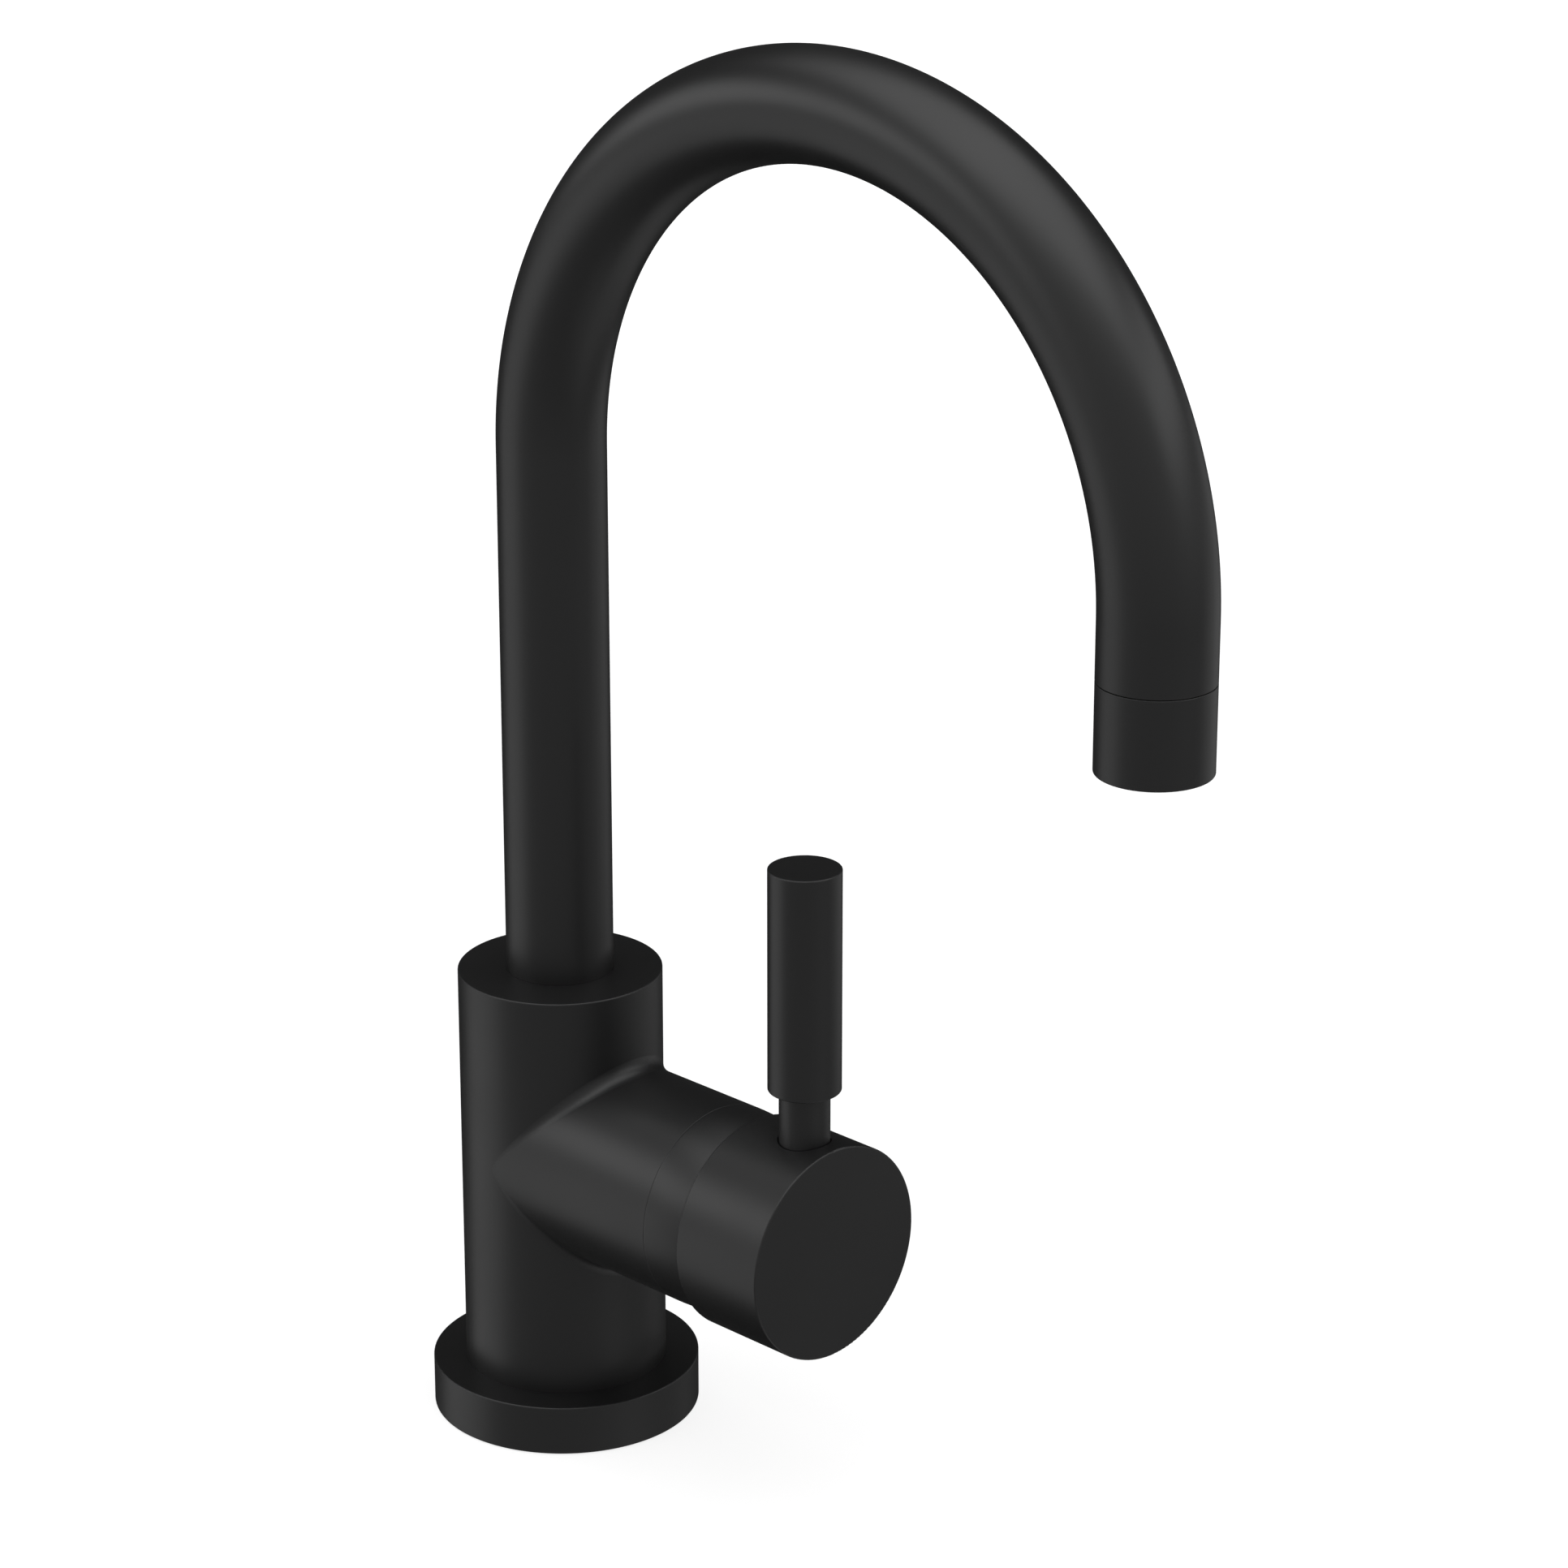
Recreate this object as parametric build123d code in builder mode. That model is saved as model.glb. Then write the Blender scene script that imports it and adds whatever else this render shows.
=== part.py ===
from build123d import *
import os
from math import asin, cos, degrees, radians, sin, sqrt

# Single-lever bathroom faucet with a bent-tube spout, in millimetres and degrees.
# The origin is the centre of the faucet's foot on the deck, +Z is up, and the spout
# and the handle point to the front, along -Y.

os.makedirs("parts", exist_ok=True)

# Boss: it holds a standard 35 mm cartridge under a threaded nut
cartridge_diameter = 34.6
collar_diameter = 29.0
nut_thread_depth = 1.5
boss_wall = 2.0
boss_height = 59.0
boss_reach = 46.3
seat_depth = 29.3
boss_fillet = 2.8

# Body and base flange
body_height = 97.5
flange_ledge = 6.85
flange_height = 10.5
shank_diameter = 32.8
gasket_inset = 2.4
gasket_width = 5.8
gasket_thickness = 2.5

# Ports, water ways and stud hole in the body
inlet_offset = 8.0
inlet_setback = 5.5
inlet_port_radius = 4.5
inlet_port_depth = 12.0
inlet_bore_radius = 3.3
cross_bore_radius = 3.0
bore_overrun = 1.0
stud_setback = 10.0
stud_hole_radius = 3.4
stud_hole_depth = 15.0
riser_setback = 2.0
riser_radius = 4.5

# Spout
tube_diameter = 22.0
tube_wall = 1.5
riser_length = 111.15
bend_radius = 79.04
drop_length = 28.6
sleeve_length = 17.1
tube_socket_depth = 6.0
glide_ring_thickness = 1.0
spout_swing = 60.0

# Spigot in the foot of the spout, and the screw that keeps it in the body
spigot_length = 22.0
spigot_insert_length = 14.0
spigot_bore_radius = 5.0
spigot_chamfer = 0.8
socket_floor_gap = 1.0
lower_o_ring_rise = 3.5
o_ring_pitch = 4.5
bearing_ring_rise = 18.5
bearing_ring_width = 2.6
bearing_ring_depth = 1.2
set_screw_rise = 13.0
set_screw_radius = 2.5
set_screw_tip_radius = 1.6
set_screw_tip_length = 1.8
set_screw_bite = 1.0
set_screw_recess = 1.0

# Outlet: threaded insert, sleeve and aerator
insert_length = 9.0
insert_thread_length = 7.5
insert_bore_radius = 7.5
sleeve_rib_width = 1.5
sleeve_rib_height = 1.5
aerator_length = 6.0
aerator_recess = 0.8
aerator_wall = 1.2
grille_thickness = 2.0
grille_cell = 2.4
grille_rib = 0.8
grille_rows = 5
washer_thickness = 1.2
screen_thickness = 0.8
screen_hole = 1.2
screen_pitch = 2.1

# Cartridge, from its seat to its front
base_thickness = 5.0
disc_thickness = 4.0
fixed_disc_diameter = 28.2
moving_disc_diameter = 21.6
inlet_port_spread = 5.2
inlet_port_rise = 3.4
outlet_port_drop = 5.5
disc_port_radius = 2.4
chamber_top_radius = 3.2
chamber_low_radius = 4.4
chamber_drop = 5.2
chamber_depth = 2.4
seal_wall = 1.4
peg_radius = 1.5
peg_length = 2.6
peg_spread = 10.0
peg_drop = 8.0
carrier_thickness = 3.0
carrier_block = 9.0
rotor_diameter = 24.0
rotor_flange_thickness = 2.6
shoulder_wall = 3.7
collar_length = 13.0
rotor_nose = 3.0
stop_height = 2.0
stop_lug_angle = 24.0
stop_play_angle = 1.5
rotor_seal_setback = 9.0
pivot_depth = 3.0
pin_radius = 1.5
handle_turn = 45.0
handle_lift = 20.0

# Stem, nut and dome ring
stem_width = 8.0
stem_heel = 4.0
stem_arm = 11.0
stem_ball_radius = 3.0
stem_neck_radius = 2.0
stem_chamfer = 0.6
nut_stand_out = 3.7
nut_hex_length = 4.0
nut_hex_inset = 1.0
dome_length = 10.64
dome_radius = 60.0
dome_shoulder_radius = 3.5
dome_wall = 1.7
dome_opening_radius = 15.2

# Handle: hub, lever rod and grip
hub_gap = 0.5
hub_wall = 1.6
hub_length = 22.04
hub_cavity_depth = 9.1
lever_setback = 13.67
stem_overlap = 3.9
neck_diameter = 10.2
neck_top = 32.7
grip_diameter = 14.64
grip_length = 46.3
lever_seat = 17.0
lever_thread_radius = 4.0
lever_thread_length = 6.5
grip_thread_length = 12.0
grub_screw_radius = 3.0
grub_screw_length = 5.0

# Hex sockets of both screws, rubber rings, clearances and small edges
hex_socket_flats = 2.5
hex_socket_depth = 2.5
o_ring_section = 1.2
fit_gap = 0.05
snug_gap = 0.2
loose_gap = 0.3
lever_hole_gap = 0.25
seam_gap = 0.12
boss_inset = 0.05
edge_radius = 0.3
seam_radius = 0.15
boss_seam_radius = 0.1

# Radii that follow
cartridge_radius = cartridge_diameter / 2
collar_radius = collar_diameter / 2
cavity_radius = cartridge_radius + snug_gap
thread_radius = cavity_radius + nut_thread_depth
body_radius = thread_radius + boss_wall
boss_radius = body_radius - boss_inset
flange_radius = body_radius + flange_ledge
shank_radius = shank_diameter / 2
tube_radius = tube_diameter / 2
tube_bore = tube_radius - tube_wall
disc_radius = fixed_disc_diameter / 2
rotor_radius = rotor_diameter / 2
neck_radius = neck_diameter / 2
grip_radius = grip_diameter / 2

# Places along the boss axis, as distances in front of the body's axis
seat_reach = boss_reach - seat_depth
base_front = seat_reach + base_thickness
fixed_disc_front = base_front + disc_thickness
moving_disc_front = fixed_disc_front + disc_thickness
carrier_front = moving_disc_front + carrier_thickness
rotor_back = carrier_front + loose_gap
rotor_flange_front = rotor_back + rotor_flange_thickness
housing_step = rotor_flange_front + loose_gap
shoulder_reach = housing_step + shoulder_wall
collar_front = shoulder_reach + collar_length
rotor_front = collar_front + rotor_nose
pivot_reach = collar_front - pivot_depth
ball_reach = pivot_reach - stem_arm
hub_back = boss_reach + dome_length
lever_reach = hub_back + lever_setback
stem_end = lever_reach + stem_overlap

# Heights above the deck
tube_foot = body_height - tube_socket_depth
glide_ring_foot = tube_foot - glide_ring_thickness
spigot_foot = tube_foot - spigot_length
socket_floor = spigot_foot - socket_floor_gap
set_screw_height = spigot_foot + set_screw_rise
bend_height = body_height + riser_length
outlet_height = bend_height - drop_length
seam_height = outlet_height + sleeve_length
outlet_reach = 2 * bend_radius


def boss_plane(reach):
    """A plane across the boss, `reach` in front of the body's axis: X right, Y up."""
    return Plane(origin=(0, -reach, boss_height), x_dir=(1, 0, 0), z_dir=(0, -1, 0))


def outlet_plane(height):
    """A level plane round the outlet's axis."""
    return Plane(origin=(0, -outlet_reach, height))


# Half-profiles of what is turned: X forward and Y outward from the boss axis,
# or X outward and Y up from the outlet's axis
boss_section = Plane(origin=(0, 0, boss_height), x_dir=(0, -1, 0), z_dir=(-1, 0, 0))
boss_axis = Axis((0, 0, boss_height), (0, -1, 0))
outlet_section = Plane.XZ.offset(outlet_reach)
outlet_axis = Axis((0, -outlet_reach, 0), (0, 0, 1))


# Base flange: a turned ring, with a groove under it for the deck gasket
shank_hole_radius = shank_radius + loose_gap
gasket_outer = flange_radius - gasket_inset
gasket_inner = gasket_outer - gasket_width

with BuildPart() as base_flange:
    with BuildSketch():
        Circle(flange_radius)
        Circle(shank_hole_radius, mode=Mode.SUBTRACT)
    extrude(amount=flange_height)
    with BuildSketch():
        Circle(gasket_outer + snug_gap)
        Circle(gasket_inner - snug_gap, mode=Mode.SUBTRACT)
    extrude(amount=gasket_thickness, mode=Mode.SUBTRACT)
    fillet(base_flange.edges().group_by(Axis.Z)[-1].sort_by(SortBy.RADIUS)[-1], edge_radius)
    fillet(base_flange.edges().group_by(Axis.Z)[0].sort_by(SortBy.RADIUS)[-1], edge_radius)
base_flange.part.label = "base_flange"
export_step(base_flange.part, "parts/base_flange.step")

with BuildPart() as deck_gasket:
    with BuildSketch():
        Circle(gasket_outer)
        Circle(gasket_inner, mode=Mode.SUBTRACT)
    extrude(amount=gasket_thickness)
deck_gasket.part.label = "deck_gasket"
export_step(deck_gasket.part, "parts/deck_gasket.step")

# Rubber ring between the body's shank and the flange
shank_ring_height = flange_height / 2
shank_ring_radius = shank_hole_radius - fit_gap - o_ring_section
shank_groove_depth = shank_radius - shank_ring_radius + o_ring_section

with BuildPart() as flange_o_ring:
    with BuildSketch(Plane.XZ):
        with Locations((shank_ring_radius, shank_ring_height)):
            Circle(o_ring_section)
    revolve(axis=Axis.Z)
flange_o_ring.part.label = "flange_o_ring"
export_step(flange_o_ring.part, "parts/flange_o_ring.step")

# Body casting: body and boss with a fillet where they meet, then sockets and water ways
socket_radius = tube_bore

with BuildPart() as body_casting:
    with BuildSketch(Plane.XY.offset(flange_height)):
        Circle(body_radius)
    extrude(amount=body_height - flange_height)
    with BuildSketch(boss_plane(0)):
        Circle(boss_radius)
    extrude(amount=boss_reach)
    fillet(body_casting.edges().filter_by(GeomType.BSPLINE), boss_fillet)
    fillet(body_casting.edges().group_by(Axis.Z)[-1], edge_radius)
    fillet(body_casting.edges().group_by(Axis.Y)[0], boss_seam_radius)
    # Shank in the flange, with a groove for its rubber ring
    with BuildSketch():
        Circle(shank_radius)
    extrude(amount=flange_height)
    with BuildSketch(Plane.XZ):
        with Locations((shank_radius, shank_ring_height)):
            Rectangle(2 * shank_groove_depth, 2 * (o_ring_section + snug_gap))
    revolve(axis=Axis.Z, mode=Mode.SUBTRACT)
    # Socket of the spout: a pocket for the tube over a bore for its spigot
    with Locations((0, 0, body_height)):
        CounterBoreHole(
            socket_radius,
            tube_radius + fit_gap,
            body_height - glide_ring_foot,
            depth=body_height - socket_floor,
        )
    # Threaded hole in the back for the screw that keeps the spout in
    with Locations(Plane(origin=(0, body_radius, set_screw_height), z_dir=(0, 1, 0))):
        Hole(set_screw_radius, depth=body_radius - socket_radius / 2)
    # Bore of the cartridge, with the nut's thread at its mouth
    with Locations(boss_plane(boss_reach)):
        CounterBoreHole(
            cavity_radius, thread_radius, boss_reach - shoulder_reach, depth=seat_depth
        )
    # Holes in the seat for the cartridge's pegs
    with BuildSketch(boss_plane(seat_reach)):
        with Locations((peg_spread, -peg_drop), (-peg_spread, -peg_drop)):
            Circle(peg_radius + snug_gap)
    extrude(amount=-(peg_length + snug_gap), mode=Mode.SUBTRACT)
    # Two inlets rise from their ports and turn forward to the cartridge
    with BuildSketch():
        with Locations((inlet_offset, -inlet_setback), (-inlet_offset, -inlet_setback)):
            Circle(inlet_port_radius)
    extrude(amount=inlet_port_depth, mode=Mode.SUBTRACT)
    with BuildSketch():
        with Locations((inlet_offset, -inlet_setback), (-inlet_offset, -inlet_setback)):
            Circle(inlet_bore_radius)
    extrude(
        amount=boss_height + inlet_port_rise + cross_bore_radius + bore_overrun,
        mode=Mode.SUBTRACT,
    )
    with BuildSketch(boss_plane(inlet_setback)):
        with Locations((inlet_offset, inlet_port_rise), (-inlet_offset, inlet_port_rise)):
            Circle(cross_bore_radius)
    extrude(amount=seat_reach - inlet_setback, mode=Mode.SUBTRACT)
    # The outlet runs back between them and rises into the spout's socket
    with BuildSketch(boss_plane(-riser_setback)):
        with Locations((0, -outlet_port_drop)):
            Circle(cross_bore_radius)
    extrude(amount=seat_reach + riser_setback, mode=Mode.SUBTRACT)
    riser_foot = boss_height - outlet_port_drop - cross_bore_radius - bore_overrun
    with BuildSketch(Plane.XY.offset(riser_foot)):
        with Locations((0, riser_setback)):
            Circle(riser_radius)
    extrude(amount=socket_floor - riser_foot, mode=Mode.SUBTRACT)
    # Threaded hole for the mounting stud
    with BuildSketch():
        with Locations((0, stud_setback)):
            Circle(stud_hole_radius)
    extrude(amount=stud_hole_depth, mode=Mode.SUBTRACT)
body_casting.part.label = "body_casting"
export_step(body_casting.part, "parts/body_casting.step")

# Spout tube: a riser, a half-circle bend and a short drop
with BuildPart() as spout_tube:
    with BuildLine(Plane.YZ):
        riser = Line((0, tube_foot), (0, bend_height))
        bend = JernArc(riser @ 1, riser % 1, bend_radius, 180)
        Line(bend @ 1, (-outlet_reach, seam_height + seam_gap / 2))
    with BuildSketch(Plane.XY.offset(tube_foot)):
        Circle(tube_radius)
        Circle(tube_bore, mode=Mode.SUBTRACT)
    sweep()
    mouth = spout_tube.faces().filter_by(Plane.XY).sort_by(Axis.Y)[0]
    fillet(mouth.edges().sort_by(SortBy.RADIUS)[-1], seam_radius)
spout_tube.part.label = "spout_tube"
export_step(spout_tube.part, "parts/spout_tube.step")

# Spigot: turned brass in the tube's foot, with grooves for its rings and a slot
# that stops the spout's swing against the screw in the body
spigot_radius = socket_radius - 2 * fit_gap
ring_radius = socket_radius - fit_gap
o_ring_radius = ring_radius - o_ring_section
lower_o_ring_height = spigot_foot + lower_o_ring_rise
o_ring_heights = [lower_o_ring_height, lower_o_ring_height + o_ring_pitch]
bearing_ring_height = spigot_foot + bearing_ring_rise
bearing_ring_bore = spigot_radius - bearing_ring_depth
tip_half_angle = degrees(asin(set_screw_tip_radius / (spigot_radius - set_screw_bite)))
slot_half_angle = spout_swing + tip_half_angle + stop_play_angle

with BuildPart() as spout_spigot:
    with BuildSketch(Plane.XZ):
        with Locations((0, spigot_foot)):
            Rectangle(spigot_radius, spigot_length, align=Align.MIN)
        with Locations((0, tube_foot)):
            Rectangle(tube_bore, spigot_insert_length, align=Align.MIN)
        with Locations([(o_ring_radius - o_ring_section, height) for height in o_ring_heights]):
            Rectangle(
                2 * (o_ring_section + fit_gap),
                2 * (o_ring_section + fit_gap),
                align=(Align.MIN, Align.CENTER),
                mode=Mode.SUBTRACT,
            )
        with Locations((bearing_ring_bore, bearing_ring_height)):
            Rectangle(
                2 * bearing_ring_depth,
                bearing_ring_width + 2 * fit_gap,
                align=(Align.MIN, Align.CENTER),
                mode=Mode.SUBTRACT,
            )
        with Locations((0, spigot_foot)):
            Rectangle(
                spigot_bore_radius,
                spigot_length + spigot_insert_length,
                align=Align.MIN,
                mode=Mode.SUBTRACT,
            )
    revolve(axis=Axis.Z)
    chamfer(spout_spigot.edges().group_by(Axis.Z)[0].sort_by(SortBy.RADIUS)[-1], spigot_chamfer)
    with BuildSketch(Plane.XZ.rotated((0, 0, 90 - slot_half_angle))):
        with Locations((spigot_radius, set_screw_height)):
            Rectangle(
                2 * (set_screw_bite + loose_gap), 2 * (set_screw_tip_radius + loose_gap)
            )
    revolve(axis=Axis.Z, revolution_arc=2 * slot_half_angle, mode=Mode.SUBTRACT)
spout_spigot.part.label = "spout_spigot"
export_step(spout_spigot.part, "parts/spout_spigot.step")

with BuildPart() as spigot_o_rings:
    with BuildSketch(Plane.XZ):
        with Locations([(o_ring_radius, height) for height in o_ring_heights]):
            Circle(o_ring_section)
    revolve(axis=Axis.Z)
spigot_o_rings.part.label = "spigot_o_rings"
export_step(spigot_o_rings.part, "parts/spigot_o_rings.step")

with BuildPart() as spigot_bearing_ring:
    with BuildSketch(Plane.XY.offset(bearing_ring_height - bearing_ring_width / 2)):
        Circle(ring_radius)
        Circle(bearing_ring_bore, mode=Mode.SUBTRACT)
    extrude(amount=bearing_ring_width)
spigot_bearing_ring.part.label = "spigot_bearing_ring"
export_step(spigot_bearing_ring.part, "parts/spigot_bearing_ring.step")

# Plastic washer that the foot of the tube turns on
with BuildPart() as spout_glide_ring:
    with BuildSketch(Plane.XY.offset(glide_ring_foot)):
        Circle(tube_radius)
        Circle(socket_radius, mode=Mode.SUBTRACT)
    extrude(amount=glide_ring_thickness)
spout_glide_ring.part.label = "spout_glide_ring"
export_step(spout_glide_ring.part, "parts/spout_glide_ring.step")

# Screw in the back of the body, whose tip stands in the spigot's slot
set_screw_length = body_radius - set_screw_recess - spigot_radius + set_screw_bite
screw_face = Plane(origin=(0, body_radius - set_screw_recess, set_screw_height), z_dir=(0, -1, 0))

with BuildPart() as spout_set_screw:
    with BuildSketch(screw_face):
        Circle(set_screw_radius - fit_gap)
    extrude(amount=set_screw_length - set_screw_tip_length)
    with BuildSketch(screw_face):
        Circle(set_screw_tip_radius)
    extrude(amount=set_screw_length)
    with BuildSketch(screw_face):
        RegularPolygon(hex_socket_flats / 2, 6, major_radius=False)
    extrude(amount=hex_socket_depth, mode=Mode.SUBTRACT)
spout_set_screw.part.label = "spout_set_screw"
export_step(spout_set_screw.part, "parts/spout_set_screw.step")

# Outlet: a threaded insert in the tube's end, and the sleeve that screws on it
aerator_foot = outlet_height + aerator_recess
washer_foot = aerator_foot + aerator_length
rib_foot = washer_foot + washer_thickness
aerator_radius = tube_bore - fit_gap
aerator_bore = aerator_radius - aerator_wall

with BuildPart() as outlet_insert:
    with BuildSketch(outlet_section):
        with Locations((insert_bore_radius, seam_height + seam_gap / 2)):
            Rectangle(tube_bore - insert_bore_radius, insert_length, align=Align.MIN)
            Rectangle(
                tube_bore - fit_gap - insert_bore_radius,
                insert_thread_length,
                align=(Align.MIN, Align.MAX),
            )
    revolve(axis=outlet_axis)
outlet_insert.part.label = "outlet_insert"
export_step(outlet_insert.part, "parts/outlet_insert.step")

with BuildPart() as outlet_sleeve:
    with BuildSketch(outlet_section):
        with Locations((tube_bore, outlet_height)):
            Rectangle(tube_wall, sleeve_length - seam_gap / 2, align=Align.MIN)
        with Locations((tube_bore, rib_foot)):
            Rectangle(sleeve_rib_height, sleeve_rib_width, align=(Align.MAX, Align.MIN))
    revolve(axis=outlet_axis)
    fillet(outlet_sleeve.edges().group_by(Axis.Z)[-1].sort_by(SortBy.RADIUS)[-1], seam_radius)
    fillet(outlet_sleeve.edges().group_by(Axis.Z)[0], edge_radius)
outlet_sleeve.part.label = "outlet_sleeve"
export_step(outlet_sleeve.part, "parts/outlet_sleeve.step")

with BuildPart() as aerator_washer:
    with BuildSketch(outlet_plane(washer_foot)):
        Circle(aerator_radius)
        Circle(insert_bore_radius, mode=Mode.SUBTRACT)
    extrude(amount=washer_thickness)
aerator_washer.part.label = "aerator_washer"
export_step(aerator_washer.part, "parts/aerator_washer.step")

# Aerator: a cup with a honeycomb grille, and the perforated screen inside it
with BuildPart() as aerator_body:
    with BuildSketch(outlet_plane(aerator_foot)):
        Circle(aerator_radius)
    extrude(amount=aerator_length)
    with BuildSketch(outlet_plane(aerator_foot + grille_thickness)):
        Circle(aerator_bore)
    extrude(amount=aerator_length - grille_thickness, mode=Mode.SUBTRACT)
    with BuildSketch(outlet_plane(aerator_foot)):
        with HexLocations((grille_cell + grille_rib) / 2, grille_rows, grille_rows):
            RegularPolygon(grille_cell / 2, 6, major_radius=False)
        Circle(aerator_bore - grille_rib / 2, mode=Mode.INTERSECT)
    extrude(amount=grille_thickness, mode=Mode.SUBTRACT)
aerator_body.part.label = "aerator_body"
export_step(aerator_body.part, "parts/aerator_body.step")

with BuildPart() as aerator_screen:
    with BuildSketch(outlet_plane(aerator_foot + grille_thickness)):
        Circle(aerator_bore - fit_gap)
        with HexLocations(screen_pitch / 2, grille_rows, grille_rows):
            RegularPolygon(screen_hole / 2, 6, major_radius=False, mode=Mode.SUBTRACT)
    extrude(amount=screen_thickness)
aerator_screen.part.label = "aerator_screen"
export_step(aerator_screen.part, "parts/aerator_screen.step")


# Cartridge base, open for the three rubber port seals, with two locating pegs
def port_outlines(radius, mode=Mode.ADD):
    """Draw the two long inlet ports and the round outlet port, `radius` half-wide."""
    middle = (inlet_offset + inlet_port_spread) / 2
    with Locations((middle, inlet_port_rise), (-middle, inlet_port_rise)):
        SlotCenterToCenter(inlet_offset - inlet_port_spread, 2 * radius, mode=mode)
    with Locations((0, -outlet_port_drop)):
        Circle(radius, mode=mode)


with BuildPart() as cartridge_base:
    with BuildSketch(boss_plane(seat_reach)):
        Circle(cartridge_radius)
        port_outlines(cross_bore_radius + seal_wall, Mode.SUBTRACT)
    extrude(amount=base_thickness)
    with BuildSketch(boss_plane(seat_reach)):
        with Locations((peg_spread, -peg_drop), (-peg_spread, -peg_drop)):
            Circle(peg_radius)
    extrude(amount=-peg_length)
cartridge_base.part.label = "cartridge_base"
export_step(cartridge_base.part, "parts/cartridge_base.step")

with BuildPart() as port_seals:
    with BuildSketch(boss_plane(seat_reach)):
        port_outlines(cross_bore_radius + seal_wall)
        port_outlines(cross_bore_radius, Mode.SUBTRACT)
    extrude(amount=base_thickness)
port_seals.part.label = "port_seals"
export_step(port_seals.part, "parts/port_seals.step")

# Ceramic discs: the fixed one has the ports, and the moving one the mixing chamber
disc_travel = stem_arm * sin(radians(handle_lift))
moving_disc_radius = moving_disc_diameter / 2

with BuildPart() as fixed_disc:
    with BuildSketch(boss_plane(base_front)):
        Circle(disc_radius)
        with Locations(
            (inlet_port_spread, inlet_port_rise),
            (-inlet_port_spread, inlet_port_rise),
            (0, -outlet_port_drop),
        ):
            Circle(disc_port_radius, mode=Mode.SUBTRACT)
    extrude(amount=disc_thickness)
fixed_disc.part.label = "fixed_disc"
export_step(fixed_disc.part, "parts/fixed_disc.step")

with BuildPart() as moving_disc:
    with BuildSketch(boss_plane(fixed_disc_front)):
        with Locations((0, -disc_travel / 2)):
            Circle(moving_disc_radius)
    extrude(amount=disc_thickness)
    with BuildSketch(boss_plane(fixed_disc_front)):
        Circle(chamber_top_radius)
        with Locations((0, -chamber_drop)):
            Circle(chamber_low_radius)
        make_hull()
    extrude(amount=chamber_depth, mode=Mode.SUBTRACT)
moving_disc.part.label = "moving_disc"
export_step(moving_disc.part, "parts/moving_disc.step")

# Carrier on the moving disc, with a pocket for the ball of the stem
block_front = ball_reach + stem_ball_radius

with BuildPart() as disc_carrier:
    with BuildSketch(boss_plane(moving_disc_front)):
        with Locations((0, -disc_travel / 2)):
            Circle(moving_disc_radius)
    extrude(amount=carrier_thickness)
    with BuildSketch(boss_plane(moving_disc_front)):
        Rectangle(carrier_block, carrier_block)
    extrude(amount=block_front - moving_disc_front)
    with BuildSketch(boss_plane(block_front)):
        Circle(stem_ball_radius + snug_gap)
    extrude(amount=-(2 * stem_ball_radius + loose_gap), mode=Mode.SUBTRACT)
disc_carrier.part.label = "disc_carrier"
export_step(disc_carrier.part, "parts/disc_carrier.step")


# Housing round the discs and the rotor; a gap in its front rim stops the handle's turn
def wedge(half_angle, radius, mode=Mode.ADD):
    """Draw a wedge that opens upwards from the boss axis to well past `radius`."""
    side = 4 * radius * sin(radians(half_angle))
    top = 4 * radius * cos(radians(half_angle))
    Polygon((0, 0), (side, top), (-side, top), align=None, mode=mode)


lug_radius = collar_radius - loose_gap
stop_half_angle = handle_turn + stop_lug_angle / 2 + stop_play_angle

with BuildPart() as cartridge_housing:
    with BuildSketch(boss_plane(base_front)):
        Circle(cartridge_radius)
    extrude(amount=shoulder_reach - base_front)
    with BuildSketch(boss_plane(shoulder_reach)):
        Circle(collar_radius)
    extrude(amount=collar_length)
    with BuildSketch(boss_plane(collar_front)):
        Circle(collar_radius)
        wedge(stop_half_angle, collar_radius, Mode.SUBTRACT)
    extrude(amount=stop_height)
    with BuildSketch(boss_plane(base_front)):
        Circle(disc_radius + snug_gap)
    extrude(amount=housing_step - base_front, mode=Mode.SUBTRACT)
    with BuildSketch(boss_plane(housing_step)):
        Circle(rotor_radius + fit_gap)
    extrude(amount=rotor_front - housing_step, mode=Mode.SUBTRACT)
cartridge_housing.part.label = "cartridge_housing"
export_step(cartridge_housing.part, "parts/cartridge_housing.step")

# Rotor: it turns in the housing with the handle, and lets the stem tilt on its pin
lift = radians(handle_lift)
stem_half = stem_width / 2
slot_top = stem_half * cos(lift) + stem_heel * sin(lift) + loose_gap
slot_bottom = stem_half / cos(lift) + (rotor_front - pivot_reach) * sin(lift) / cos(lift) + loose_gap
slot_middle = (slot_top - slot_bottom) / 2
cavity_front = pivot_reach - stem_arm * cos(lift) + stem_ball_radius + loose_gap
cavity_top = carrier_block / 2 + disc_travel + loose_gap
cavity_bottom = carrier_block / 2 + loose_gap
rotor_seal_reach = collar_front - rotor_seal_setback
rotor_seal_section = o_ring_section * 0.75
rotor_seal_radius = rotor_radius - rotor_seal_section

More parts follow.
